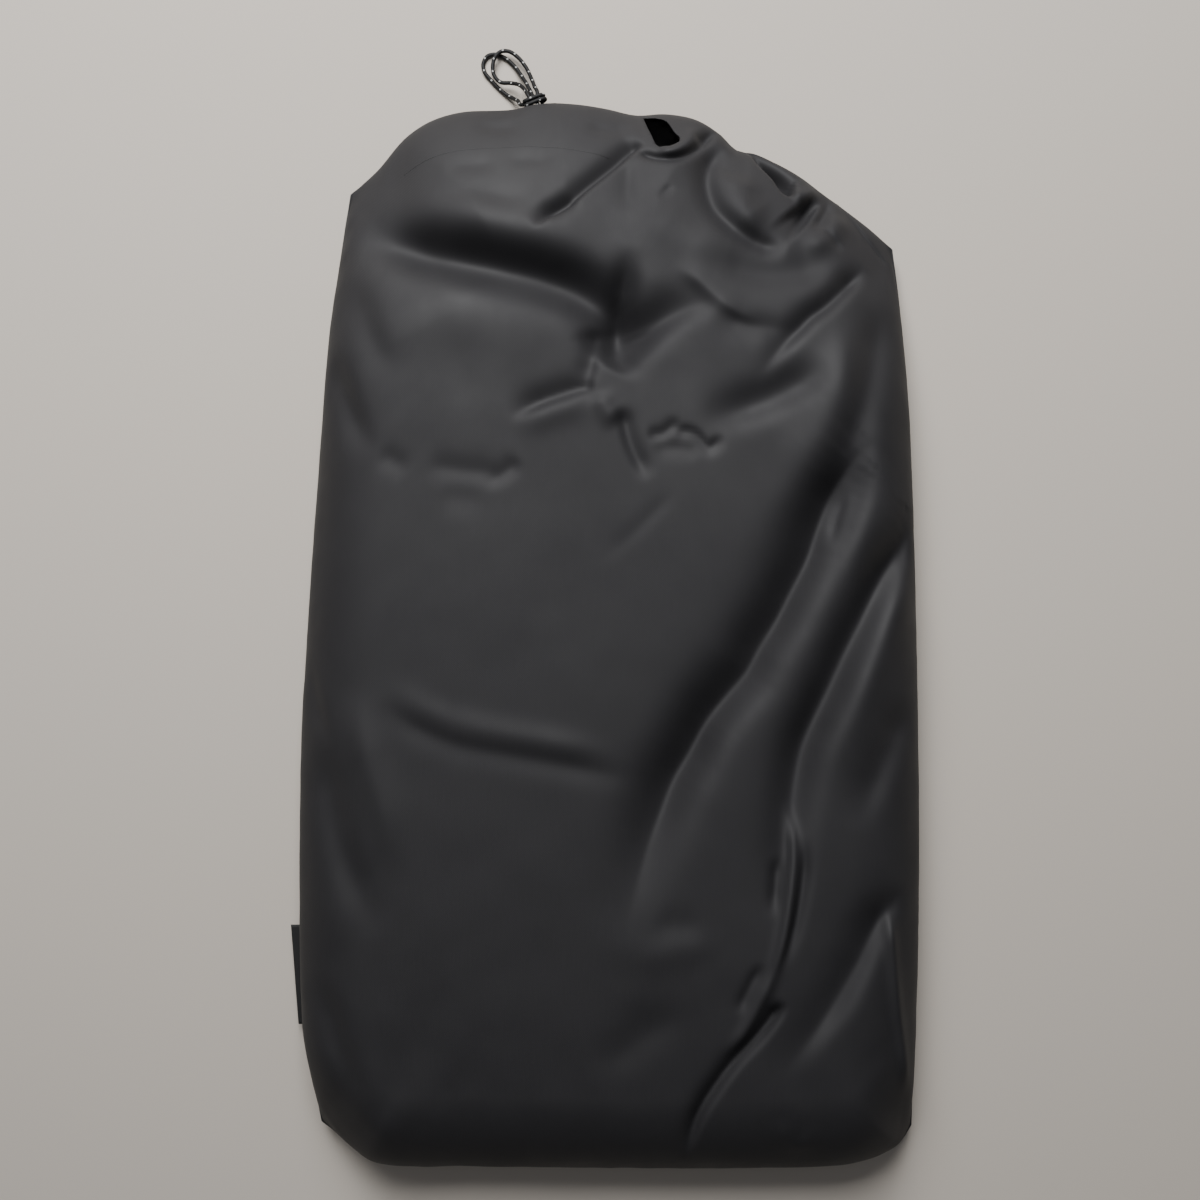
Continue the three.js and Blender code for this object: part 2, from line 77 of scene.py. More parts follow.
# Each fold: its route, its depth (negative stands up), its width on the left and on the right of the
# route, how round its bottom is, and the shares of its length over which it fades in and out.
FOLDS = {
    # the hollow between the drawn mouth and the end of the contents, and the pinch it runs into
    "neck_hollow": ([(-124, 195), (-115, 193), (-91, 188.8), (-70, 184.5), (-48.5, 180.3), (-30, 175.5),
                     (-12, 168.2), (1, 158), (6, 147), (7, 132)], 15, 9, 8, 3.5, 0.3, 0.12),
    "neck_puff": ([(-108, 212), (-80, 209), (-48, 203), (-22, 198), (4, 192)], -4.5, 11, 11, 7, 0.4, 0.35),
    "neck_puff_right": ([(14, 214), (34, 204), (54, 192), (70, 185)], -3.5, 10, 8, 5, 0.35, 0.4),
    "contents_end": ([(-118, 166), (-90, 162), (-60, 157), (-34, 150), (-14, 142)], -2.5, 10, 12, 7,
                      0.4, 0.35),
    "pinch_upright": ([(13, 193), (10, 170), (7, 150), (4.5, 129)], 6.5, 5, 5, 1.6, 0.35, 0.25),
    "pinch_right_arm": ([(4, 129), (13, 142), (26, 154), (44, 163), (66, 167)], 10, 9, 5, 2.2, 0.12, 0.7),
    "pinch_shadow": ([(-3, 156), (-5.5, 140), (-7, 124)], 3, 2.5, 5, 0.9, 0.3, 0.3),
    "pinch_left_crease": ([(-3, 123), (-9, 122.5), (-21, 119), (-33, 114.5), (-48, 107)], 3.6, 2, 5.5,
                           0.7, 0.12, 0.4),
    "pinch_left_ridge": ([(-4, 117.5), (-18, 113), (-32, 108), (-46, 100)], -1.8, 5, 3, 2, 0.3, 0.4),
    "pinch_knuckle": ([(-3, 122), (2, 112), (9, 106)], -2.4, 4, 4, 1.5, 0.35, 0.35),
    "pinch_down_crease": ([(9, 113), (11, 104), (13.5, 95), (17, 87), (23.5, 76)], 2.8, 3.6, 2.2, 0.8,
                           0.22, 0.3),
    "pinch_short": ([(21, 99), (29.5, 99.8), (34.6, 103.6), (39, 107.4)], 1.7, 2.4, 1.8, 0.5, 0.25, 0.3),
    "pinch_wave": ([(34, 99), (38, 100.8), (43, 100.8), (47, 98.6), (50, 95.2), (52.5, 93), (57.6, 96),
                    (62.5, 97.6)], 1.6, 1.6, 2.6, 0.6, 0.2, 0.25),
    "pinch_wave_below": ([(23, 92), (34, 92.6), (42, 92), (48, 86.5)], 1.0, 3, 3, 1.2, 0.3, 0.3),
    "left_crease_low": ([(-90, 84), (-78, 82.6), (-64, 81), (-50, 80.5)], 1.5, 5, 4, 1.3, 0.3, 0.3),
    "left_crease_tick": ([(-40, 87), (-48, 81), (-60, 73.5)], 1.6, 2.6, 3.8, 1, 0.3, 0.4),
    "left_crease_faint": ([(-84, 69.5), (-70, 68), (-57, 68)], 0.8, 5, 5, 2, 0.4, 0.4),
    "left_rim_crease": ([(-113, 92), (-104, 86), (-95, 81)], 1.3, 4, 4, 1.6, 0.4, 0.4),
    "left_rim_roll": ([(-134, 142), (-129, 122), (-121, 101), (-112, 86)], 3, 4, 6, 2, 0.35, 0.4),
    "left_shoulder_roll": ([(-126, 178), (-120, 160), (-112, 140), (-98, 124)], 2.4, 5, 8, 3, 0.35, 0.45),
    # the mouth's overlapping lips
    "flap_crease": ([(20, 243), (14, 239), (4, 230.5), (-8, 221), (-18, 212.5), (-28, 206), (-34.5, 199.5)],
                    6, 1.3, 5, 0.4, 0.1, 0.16),
    "flap_pocket": ([(-12, 217), (-21, 211), (-29, 206)], 2.4, 3, 4, 1.2, 0.35, 0.35),
    "flap_soft": ([(13, 237), (12, 222), (12.5, 206)], 1.7, 2.6, 4, 1.1, 0.3, 0.5),
    "lip_crease": ([(17, 240), (22, 237.5), (29, 236), (35, 236), (41, 237.8), (46.5, 241), (52, 246.5),
                    (58, 252)], 3.4, 1.5, 1.8, 0.4, 0.12, 0.15),
    "lip_roll": ([(26, 240.6), (33, 240.4), (40, 243), (44.5, 248), (47, 254)], -2.8, 3, 2.6, 1.3, 0.2, 0.3),
    "lip_dimple": ([(45, 243.5), (51, 247.5), (56.5, 251.5)], 3, 2.5, 2.5, 0.8, 0.3, 0.3),
    "lip_tick": ([(27, 216), (35, 224)], 1.1, 1.6, 1.6, 0.6, 0.4, 0.4),
    "left_soft_one": ([(-80, 231.5), (-66, 233), (-50, 234)], 1.0, 3, 4, 1.4, 0.35, 0.4),
    "left_soft_edge": ([(-50, 235.6), (-36, 236), (-22, 235.4)], 0.7, 3, 3, 1.2, 0.35, 0.4),
    "left_soft_high": ([(-66, 253.5), (-52, 251.5), (-40, 253)], 1.0, 3, 3, 1.2, 0.35, 0.35),
    "left_soft_two": ([(-88, 216), (-66, 220), (-44, 216), (-30, 214)], 1.4, 4, 5, 2, 0.4, 0.4),
    "right_soft_high": ([(-10, 252.5), (4, 250.5), (16, 251.5)], 1.6, 3, 3.5, 1.2, 0.35, 0.35),
    # the dent beside the mouth
    "dent_ring": ([(62, 241), (55, 236), (51.5, 228), (52, 220), (55.5, 211), (62, 204), (70, 198),
                   (79, 193.5), (92, 191)], 5, 3.6, 4.2, 1.3, 0.2, 0.15),
    "dent_swell": ([(68, 232), (67, 219), (73, 209), (82, 202)], -4, 6.5, 7, 3, 0.3, 0.3),
    "dent_step": ([(67, 243), (72, 238), (79, 230), (85, 223.5), (89, 217.5), (94, 214.5)], 15, 6.5, 1.4, 0.4,
                  0.05, 0.12),
    "dent_pocket": ([(93, 211), (97, 207), (102, 203)], 5.5, 8, 8, 4, 0.35, 0.3),
    "dent_shelf": ([(93, 218), (100, 219), (108, 222)], -3, 3.6, 2.4, 1.2, 0.3, 0.3),
    "dent_floor": ([(98, 211), (104, 207)], 3.5, 6, 6, 4, 0.3, 0.3),
    "dent_rim": ([(112.5, 220), (111.5, 212), (108.5, 205.5), (103.5, 199.5)], 3.6, 2.2, 3.2, 0.8, 0.2, 0.3),
    "dent_outer_ridge": ([(119, 211), (116.5, 203), (110, 196.5), (99, 191.5)], -2.8, 4, 4, 2, 0.3, 0.3),
    "shoulder_line": ([(117, 214.5), (122, 208), (129, 199), (136, 190.5), (142.5, 182)], 0.9, 0.9, 1.2, 0.35,
                      0.2, 0.2),
    "shoulder_tick": ([(109, 202), (114, 196), (119, 189)], 1.4, 1.6, 2.4, 0.7, 0.3, 0.4),
    "shoulder_spike": ([(130, 182.5), (126, 178), (118, 170), (110.5, 163), (103, 157.5), (97, 151.5),
                        (90.7, 145), (83, 136), (74, 125)], 5.5, 3, 5, 0.7, 0.2, 0.45),
    "shoulder_band": ([(119, 188), (102, 181.5), (82, 179.5), (60, 184), (42, 191)], 4, 6, 7, 3, 0.3, 0.5),
    "shoulder_ridge": ([(34, 186), (47, 177.5), (58, 167.8), (67, 161.5), (84, 156.5)], -2.2, 5, 3, 1,
                        0.3, 0.35),
    "shoulder_low_band": ([(56, 163), (68, 155.5), (82, 152.5), (98, 152)], 2.4, 5, 6, 1.5, 0.3, 0.35),
    # long folds down the right-hand side
    "slack_upper": ([(112, 139), (102, 128), (86, 119), (70, 112.5), (56, 109), (44, 107)], 5.5, 5, 7,
                     3, 0.35, 0.4),
    "slack_ridge": ([(127, 164), (123, 134), (117, 108), (105, 84), (88, 56), (70, 40)], -3.5, 11, 8, 6, 0.3,
                    0.5),
    "long_valley_head": ([(138, 166), (135, 148), (131, 127), (127, 109), (122, 92), (116, 76)], 5, 7,
                          7, 3, 0.3, 0.3),
    "long_valley": ([(134.5, 97), (132, 93.8), (125, 88), (118, 77.5), (111.6, 65.4), (106.5, 52.6),
                     (101.4, 37.3), (92.5, 19.5), (86, 6.7), (77.4, -7.3), (71.2, -18.8), (61.5, -30.3),
                     (51.5, -43), (43, -58.4), (35.4, -71), (29, -86), (22.5, -103), (17, -121),
                     (12, -139), (9, -156)], 17, 9.5, 12, 0.8, 0.15, 0.4),
    "long_roll": ([(129, 80), (119, 55), (109, 34), (100, 14), (88, -8), (74, -30), (60, -50), (48, -74),
                   (38, -98), (31, -122)], -3.5, 7, 8, 4, 0.25, 0.45),
    "long_tick": ([(124, 74), (119, 60), (114, 43)], 2, 1.6, 2, 0.7, 0.4, 0.4),
    "roll_hollow": ([(132, 88), (126, 66), (120, 48), (113, 28)], 2.4, 4, 4, 2, 0.35, 0.45),
    "second_valley": ([(158, 62), (156, 57), (148.5, 47.5), (142.5, 37.3), (135, 22), (127.5, 5.4),
                       (119.7, -11), (112, -27.7), (104.4, -43), (99, -55.8), (95, -72.4), (91.5, -98),
                       (88.5, -124), (85, -152)], 12, 6.5, 9, 1.6, 0.2, 0.45),
    "second_roll": ([(155, 36), (146, 16), (137, -6), (127, -30), (118, -54), (110, -80)], -3, 7, 7, 4,
                     0.25, 0.45),
    "fine_ridge": ([(92, -84), (95, -98), (95.6, -113), (93.5, -134), (89.5, -156), (83, -176), (78, -188)],
                   -3.4, 2, 2.2, 0.7, 0.2, 0.35),
    "fine_groove": ([(101, -100), (100, -120), (96.6, -140), (93.5, -152), (88, -168)], 2.6, 2.2, 1.6, 0.6,
                    0.3, 0.35),
    "fine_groove_left": ([(87, -110), (86, -126), (84, -142)], 2, 1.6, 2.4, 0.7, 0.3, 0.4),
    "corner_crease": ([(90, -181), (87.5, -185), (78.5, -198), (66, -211.4), (55.8, -224.8), (47.6, -237),
                       (42.5, -249), (38.5, -258)], 5.5, 1.5, 4.2, 0.4, 0.1, 0.3),
    "corner_ridge": ([(86, -166), (77, -187), (69, -202), (60, -213)], -2, 2.2, 2.2, 0.9, 0.3, 0.3),
    "corner_groove": ([(80, -163), (73, -176), (66.5, -190)], 1.8, 1.8, 2.2, 0.8, 0.3, 0.3),
    "right_band": ([(151, -29), (144, -50), (136, -70), (124, -100)], 3.4, 5, 7, 3, 0.3, 0.4),
    "right_low_band": ([(148, -122), (142, -133), (134, -147), (126, -165), (115, -184), (98, -206),
                        (84, -222)], 5.5, 4, 9, 1.4, 0.2, 0.5),
    "right_rim_ridge": ([(141.5, -131), (144, -154), (146.5, -184), (151, -230)], -3.2, 2.6, 2.6, 0.8,
                         0.2, 0.2),
    "low_dent": ([(24, -141), (36, -145), (52, -143)], 1.0, 6, 5, 2.4, 0.4, 0.4),
    "low_swell": ([(12, -164), (28, -160), (46, -156), (58, -164)], -0.9, 6, 6, 3, 0.35, 0.35),
    "low_corner_vee": ([(84, -240), (96, -252), (108, -244)], -1.0, 4, 4, 2, 0.35, 0.35),
    "low_middle": ([(44, -186), (20, -200), (-6, -222)], 1.6, 6, 8, 3, 0.4, 0.4),
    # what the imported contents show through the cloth
    "contents_edge": ([(-114, -33), (-105, -39), (-96, -45), (-84, -51), (-70, -56), (-45, -60.5), (-14, -66),
                       (4, -70), (23, -74)], 1.6, 4, 5, 1.6, 0.2, 0.3),
    "contents_step": ([(-112, -24), (-92, -37), (-66, -47), (-40, -52), (-10, -58), (10, -63)], -1.6, 4, 9, 3,
                      0.3, 0.3),
    "left_long_valley": ([(-140, -46), (-136, -72), (-131, -102), (-121, -132), (-112, -154)], 3.6, 6, 7, 3,
                         0.3, 0.4),
    "left_long_ridge": ([(-127, -26), (-118, -60), (-108, -96), (-103, -128)], -2.2, 6, 6, 3, 0.35, 0.4),
    "left_low_valley": ([(-140, -166), (-135, -190), (-127, -214), (-114, -232)], 2.8, 5, 6, 2.5, 0.35, 0.4),
    "left_edge_dip": ([(-146, -8), (-143, -30), (-136, -58)], 2.2, 3, 5, 1.5, 0.35, 0.4),
    "faint_diagonal": ([(37, 73), (18, 53), (-4, 34)], 0.6, 2.4, 3.4, 1, 0.3, 0.5),
}

# The gap between the two lips, seen from above: its corners in order.
MOUTH_GAP = [(20, 258.2), (31, 256.9), (36, 251), (38.6, 247.6), (37.2, 245.2), (28.2, 243.6), (23.6, 250.6)]

# How low the gap's turned-down edge may reach.
LIP_LOWEST = 2.5

# Where the drawcord comes out between the lips.
CORD_EXIT_X = -34

# The folds of the panel that it lies on, as FOLDS: they only lift the cloth off the floor.
BACK_FOLDS = {
    "crossing": ([(-120, 60), (-60, 38), (0, 30), (70, 52)], -2.2, 5, 9, 2, 0.4, 0.4),
    "under_neck": ([(-100, 176), (-40, 168), (20, 174), (90, 160)], -5, 12, 14, 5, 0.3, 0.3),
    "long": ([(120, 120), (96, 40), (84, -60), (88, -170)], -2.4, 4, 8, 2, 0.4, 0.4),
    "low": ([(-90, -120), (-40, -150), (30, -150)], -1.8, 5, 6, 2, 0.4, 0.4),
    "heel": ([(-110, -200), (-60, -228), (20, -224)], -1.6, 4, 7, 2, 0.4, 0.4),
}


# ---- small geometry tools --------------------------------------------------------------


def smooth_line(points, count):
    """count points spaced evenly along a centripetal Catmull-Rom curve through points."""
    p = np.array(points, float)
    p = np.vstack([2 * p[0] - p[1], p, 2 * p[-1] - p[-2]])
    pieces = []
    for i in range(1, len(p) - 2):
        a, b, c, d = p[i - 1 : i + 3]
        t1 = np.linalg.norm(b - a) ** 0.5
        t2 = t1 + np.linalg.norm(c - b) ** 0.5
        t3 = t2 + np.linalg.norm(d - c) ** 0.5
        t = np.linspace(t1, t2, 24, endpoint=False)[:, None]
        ab = (t1 - t) / t1 * a + t / t1 * b
        bc = (t2 - t) / (t2 - t1) * b + (t - t1) / (t2 - t1) * c
        cd = (t3 - t) / (t3 - t2) * c + (t - t2) / (t3 - t2) * d
        abc = (t2 - t) / t2 * ab + t / t2 * bc
        bcd = (t3 - t) / (t3 - t1) * bc + (t - t1) / (t3 - t1) * cd
        pieces.append((t2 - t) / (t2 - t1) * abc + (t - t1) / (t2 - t1) * bcd)
    fine = np.vstack(pieces + [p[-2][None]])
    along = np.concatenate([[0], np.cumsum(np.linalg.norm(np.diff(fine, axis=0), axis=1))])
    at = np.linspace(0, along[-1], count)
    return np.stack([np.interp(at, along, fine[:, k]) for k in range(fine.shape[1])], axis=1)


def line_length(line):
    return float(np.linalg.norm(np.diff(line, axis=0), axis=1).sum())


def smoothstep(low, high, x):
    t = np.clip((x - low) / (high - low), 0, 1)
    return t * t * (3 - 2 * t)


def beside(xy, line):
    """For each point: its distance to the line, negative on the left, and the share of the line passed."""
    best = np.full(len(xy), np.inf)
    side = np.zeros(len(xy))
    share = np.zeros(len(xy))
    count = len(line) - 1
    for i in range(count):
        a, step = line[i], line[i + 1] - line[i]
        rel = xy - a
        u = np.clip(rel @ step / (step @ step), 0, 1)
        away = rel - u[:, None] * step
        d = np.hypot(away[:, 0], away[:, 1])
        nearer = d < best
        best[nearer] = d[nearer]
        side[nearer] = np.sign(step[1] * rel[nearer, 0] - step[0] * rel[nearer, 1])
        share[nearer] = (i + u[nearer]) / count
    return best * np.where(side < 0, -1, 1), share


def fold_height(xy, route, depth, left, right, round_bottom, fade_in, fade_out):
    """The height that one fold adds at each point."""
    line = smooth_line(route, 48)
    reach = 4 * max(left, right) + round_bottom
    low, high = line.min(0) - reach, line.max(0) + reach
    near = np.all((xy > low) & (xy < high), axis=1)
    height = np.zeros(len(xy))
    d, share = beside(xy[near], line)
    width = np.where(d < 0, left, right)
    fall = (np.sqrt(d * d + round_bottom**2) - round_bottom) / width
    shape = np.exp(-fall * (0.55 + 0.45 * fall))
    fade = smoothstep(0, fade_in, share) * smoothstep(0, fade_out, 1 - share)
    height[near] = -depth * shape * fade
    return height


def all_folds(xy, folds):
    return sum(fold_height(xy, *fold) for fold in folds.values())


def on_cloth(seen, depth, crown, seam, steps=1):
    """Points moved from where the camera sees them to where the cloth is, depth below its smooth shape."""
    moved = seen
    for _ in range(steps):
        z = front_base(moved, edge_reach(moved), crown, seam) - depth
        nearer = (VIEW_HEIGHT - z) / (VIEW_HEIGHT - DRAWN_AT)
        moved = VIEW_AXIS + (seen - VIEW_AXIS) * nearer[:, None]
    return moved


def laid_on_cloth(folds, crown, seam):
    """The folds with their routes on the cloth."""
    return {
        name: (on_cloth(np.array(route, float), shape[0], crown, seam), *shape)
        for name, (route, *shape) in folds.items()
    }


def mouth_gap(settings):
    """The corners of the gap between the lips, on the cloth."""
    return on_cloth(np.array(MOUTH_GAP, float), 0, settings.crown / MM, settings.seam / MM, steps=4)


def inside_by(xy, corners):
    """How far each point is inside a closed outline: negative outside it."""
    ring = np.array(list(corners) + [corners[0]], float)
    d, _ = beside(xy, ring)
    inside = np.zeros(len(xy), bool)
    for (x1, y1), (x2, y2) in zip(ring[:-1], ring[1:]):
        crosses = (y1 > xy[:, 1]) != (y2 > xy[:, 1])
        at = x1 + (xy[:, 1] - y1) / (1 if y2 == y1 else y2 - y1) * (x2 - x1)
        inside ^= crosses & (xy[:, 0] < at)
    return np.where(inside, abs(d), -abs(d))


def spread(count, crowding):
    """count values from 0 to 1, closer together where crowding(x) is larger."""
    x = np.linspace(0, 1, 2000)
    passed = np.concatenate([[0], np.cumsum((crowding(x[1:]) + crowding(x[:-1])) / 2)])
    return np.interp(np.linspace(0, 1, count), passed / passed[-1], x)


def crowded_ends(x):
    return 1 + 1.1 * np.exp(-x / 0.04) + 1.1 * np.exp(-(1 - x) / 0.04)


def crowded_mouth(x):
    return crowded_ends(x) + 0.9 * smoothstep(0.74, 0.84, x)


def patch(s, t):
    """Points over the outline at every s across and t along, and how far each is from its edges."""
    fine = 1200
    at = np.linspace(0, 1, fine)

    def edge(points, where):
        line = smooth_line(points, fine)
        return np.stack([np.interp(where, at, line[:, k]) for k in range(2)], axis=1)

    low, high = edge(BOTTOM_EDGE, s), edge(MOUTH_EDGE, s)
    left, right = edge(LEFT_EDGE, t), edge(RIGHT_EDGE, t)
    S, T = np.meshgrid(s, t)
    S, T = S[..., None], T[..., None]
    grid = (1 - T) * low[None] + T * high[None] + (1 - S) * left[:, None] + S * right[:, None]
    grid -= (1 - S) * (1 - T) * low[0] + S * (1 - T) * low[-1] + (1 - S) * T * high[0] + S * T * high[-1]
    xy = grid.reshape(-1, 2)
    return xy, edge_reach(xy)


def edge_reach(xy):
    """How far each point is from the pouch's sides, its bottom and its mouth."""
    left, right, bottom, mouth = (
        abs(beside(xy, smooth_line(edge, 90))[0]) for edge in (LEFT_EDGE, RIGHT_EDGE, BOTTOM_EDGE, MOUTH_EDGE)
    )
    return {"side": np.minimum(left, right), "bottom": bottom, "mouth": mouth}


def blend_weights(x, count):
    """Cubic B-spline weights that carry count even values to the places x."""
    weights = np.zeros((len(x), count))
    at = x * (count - 1)
    low = np.floor(at).astype(int)
    f = at - low
    parts = ((1 - f) ** 3, 3 * f**3 - 6 * f**2 + 4, -3 * f**3 + 3 * f**2 + 3 * f + 1, f**3)
    for k, part in enumerate(parts):
        column = np.clip(low + k - 1, 0, count - 1)
        np.add.at(weights, (np.arange(len(x)), column), part / 6)
    return weights


def carried(coarse, s, t):
    """A coarse grid's values, smoothly carried to the finer grid of s across and t along."""
    return blend_weights(t, coarse.shape[0]) @ coarse @ blend_weights(s, coarse.shape[1]).T


def unevenness(s, t, columns, rows, seed):
    """Smooth random heights, about -1 to 1, with so many swells across and along."""
    values = np.random.default_rng(seed).uniform(-1, 1, (rows, columns))
    return 1.6 * carried(values, s, t).reshape(-1)


def grid_faces(across, along, upward=True):
    faces = []
    for j in range(along - 1):
        for i in range(across - 1):
            a = j * across + i
            quad = (a, a + 1, a + across + 1, a + across)
            faces.append(quad if upward else quad[::-1])
    return faces


def rolled(distance, width, power=2.0):
    """0 at an edge, rising steeply and then levelling off to 1 at width from it."""
    return (1 - (1 - np.clip(distance / width, 0, 1)) ** power) ** (1 / power)


def new_piece(name, vertices, faces, uv=None, smooth=True):
    mesh = bpy.data.meshes.new(name)
    mesh.from_pydata([tuple(v) for v in vertices], [], [tuple(f) for f in faces])
    if uv is not None:
        put_uv(mesh, uv)
    mesh.polygons.foreach_set("use_smooth", [smooth] * len(mesh.polygons))
    mesh.update()
    piece = bpy.data.objects.new(name, mesh)
    bpy.context.scene.collection.objects.link(piece)
    return piece


def put_uv(mesh, uv):
    """A UV map in metres, one pair for each vertex."""
    layer = mesh.uv_layers.new(name="cloth")
    corners = np.zeros(len(mesh.loops), int)
    mesh.loops.foreach_get("vertex_index", corners)
    layer.data.foreach_set("uv", np.asarray(uv, float)[corners].reshape(-1))


def finish_piece(piece, material, body, slot, *nodes):
    piece.data.materials.clear()
    piece.data.materials.append(bpy.data.materials[finish_name(material)])
    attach(piece, body)
    if nodes:
        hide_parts(*nodes)


# ---- tubes: the drawcord and its braid ---------------------------------------------------


CORD_SIDES = 20
BRAID_DEPTH = 0.11


def tube(line, radius):
    """Vertices, faces and UVs of a closed round tube along line, with a braided surface."""
    line = np.asarray(line, float)
    tangents = np.gradient(line, axis=0)
    tangents /= np.linalg.norm(tangents, axis=1)[:, None]
    normal = np.cross(tangents[0], [0.0, 0.0, 1.0])
    if np.linalg.norm(normal) < 0.1:
        normal = np.cross(tangents[0], [1.0, 0.0, 0.0])
    passed = np.concatenate([[0], np.cumsum(np.linalg.norm(np.diff(line, axis=0), axis=1))])
    turns = np.linspace(0, 2 * math.pi, CORD_SIDES + 1)
    vertices, uv, faces = [], [], []
    strand = 4 * radius
    for centre, tangent, along in zip(line, tangents, passed):
        normal = normal - tangent * (normal @ tangent)
        normal /= np.linalg.norm(normal)
        other = np.cross(tangent, normal)
        lay = math.pi * along / strand
        wave = np.maximum(abs(np.sin(4 * turns + lay)), abs(np.sin(4 * turns - lay)))
        r = radius * (1 - BRAID_DEPTH * (1 - wave))[:, None]
        ring = centre + r * (np.cos(turns)[:, None] * normal + np.sin(turns)[:, None] * other)
        vertices.extend(ring)
        uv.extend([(turn * radius, along) for turn in turns])
    row = CORD_SIDES + 1
    for j in range(len(line) - 1):
        for i in range(CORD_SIDES):
            a = j * row + i
            faces.append((a, a + 1, a + row + 1, a + row))
    for end, outward in ((0, True), (len(line) - 1, False)):
        middle = len(vertices)
        vertices.append(line[end])
        uv.append((0, passed[end]))
        for i in range(CORD_SIDES):
            a = end * row + i
            faces.append((middle, a + 1, a) if outward else (middle, a, a + 1))
    return vertices, faces, uv


def braided_cord(name, line_mm, radius_mm, step_mm=0.3):
    count = max(8, int(line_length(np.array(line_mm, float)) / step_mm))
    line = smooth_line(line_mm, count) if len(line_mm) > 2 else np.linspace(*np.array(line_mm, float), count)
    piece = new_piece(name, *tube(line * MM, radius_mm * MM))
    tidy_normals(piece, merged_within=1e-6)
    return piece, line * MM


def tidy_normals(piece, merged_within=None):
    """Turns the faces outwards, once vertices closer than merged_within are one, which closes a tube."""
    bm = bmesh.new()
    bm.from_mesh(piece.data)
    if merged_within:
        bmesh.ops.remove_doubles(bm, verts=bm.verts, dist=merged_within)
    bmesh.ops.recalc_face_normals(bm, faces=bm.faces)
    bm.to_mesh(piece.data)
    bm.free()


# ---- materials -------------------------------------------------------------------------


def group_tree(name, inputs, outputs):
    """A new shader node group, with its (name, socket type, default) inputs and (name, type) outputs."""
    tree = bpy.data.node_groups.new(name, "ShaderNodeTree")
    for socket, kind, default in inputs:
        made = tree.interface.new_socket(socket, in_out="INPUT", socket_type=kind)
        if default is not None:
            made.default_value = default
    for socket, kind in outputs:
        tree.interface.new_socket(socket, in_out="OUTPUT", socket_type=kind)
    return tree, tree.nodes.new("NodeGroupInput"), tree.nodes.new("NodeGroupOutput")


def math_node(tree, operation, a, b=None):
    node = tree.nodes.new("ShaderNodeMath")
    node.operation = operation
    for socket, value in zip(node.inputs, (a, b)):
        if value is None:
            continue
        if isinstance(value, (int, float)):
            socket.default_value = value
        else:
            tree.links.new(value, socket)
    return node.outputs[0]


def noise_node(tree, vector, scale, detail=2.0, roughness=0.5):
    node = tree.nodes.new("ShaderNodeTexNoise")
    node.inputs["Scale"].default_value = scale
    node.inputs["Detail"].default_value = detail
    node.inputs["Roughness"].default_value = roughness
    tree.links.new(vector, node.inputs["Vector"])
    return node.outputs["Fac"]


def plain_weave_group():
    """Threads passing over and under each other, laid out on a cloth's own UV map in metres."""
    found = bpy.data.node_groups.get("plain_weave")
    if found:
        return found
    inputs = [("UV", "NodeSocketVector", None), ("Thread", "NodeSocketFloat", 0.0005),
              ("Slub", "NodeSocketFloat", 0.5)]
    outputs = [(name, "NodeSocketFloat") for name in ("Height", "Shade", "Thread line")]
    tree, start, end = group_tree("plain_weave", inputs, outputs)
    split = tree.nodes.new("ShaderNodeSeparateXYZ")
    tree.links.new(start.outputs["UV"], split.inputs[0])
    waves = []
    for axis in ("X", "Y"):
        turns = math_node(tree, "DIVIDE", split.outputs[axis], start.outputs["Thread"])
        waves.append(math_node(tree, "SINE", math_node(tree, "MULTIPLY", turns, math.pi)))
    over = math_node(tree, "MULTIPLY", waves[0], waves[1])
    slub = noise_node(tree, start.outputs["UV"], 420.0, 3.0, 0.6)
    uneven = math_node(tree, "MULTIPLY", math_node(tree, "SUBTRACT", slub, 0.5), start.outputs["Slub"])
    tree.links.new(math_node(tree, "ADD", over, uneven), end.inputs["Height"])
    tree.links.new(noise_node(tree, start.outputs["UV"], 14.0, 4.0, 0.6), end.inputs["Shade"])
    stretch = tree.nodes.new("ShaderNodeVectorMath")
    stretch.operation = "MULTIPLY"
    stretch.inputs[1].default_value = (1500, 60, 1)
    tree.links.new(start.outputs["UV"], stretch.inputs[0])
    tree.links.new(noise_node(tree, stretch.outputs[0], 1.0, 2.0, 0.5), end.inputs["Thread line"])
    return tree


def cord_flecks_group():
    """The pale tracer of a round braided cord, coming up in short stitches, on a UV map in metres."""
    found = bpy.data.node_groups.get("cord_flecks")
    if found:
        return found
    inputs = [("UV", "NodeSocketVector", None), ("Pitch", "NodeSocketFloat", 0.0064),
              ("Round", "NodeSocketFloat", 0.00628)]
    outputs = [(name, "NodeSocketFloat") for name in ("Fleck", "Braid")]
    tree, start, end = group_tree("cord_flecks", inputs, outputs)
    split = tree.nodes.new("ShaderNodeSeparateXYZ")
    tree.links.new(start.outputs["UV"], split.inputs[0])
    turn = math_node(tree, "DIVIDE", split.outputs["X"], start.outputs["Round"])
    rise = math_node(tree, "DIVIDE", split.outputs["Y"], start.outputs["Pitch"])
    slant = math_node(tree, "ADD", rise, math_node(tree, "MULTIPLY", turn, 0.15))
    along = math_node(tree, "LESS_THAN", math_node(tree, "FRACT", slant), 0.13)
    third = math_node(tree, "FRACT", math_node(tree, "MULTIPLY", turn, 3.0))
    around = math_node(tree, "LESS_THAN", third, 0.42)
    tree.links.new(math_node(tree, "MULTIPLY", along, around), end.inputs["Fleck"])
    tree.links.new(noise_node(tree, start.outputs["UV"], 2600.0, 2.0), end.inputs["Braid"])
    return tree


def finish_name(name):
    """The name of a finish, kept apart from the frame's own plain materials."""
    return f"{name} finish"


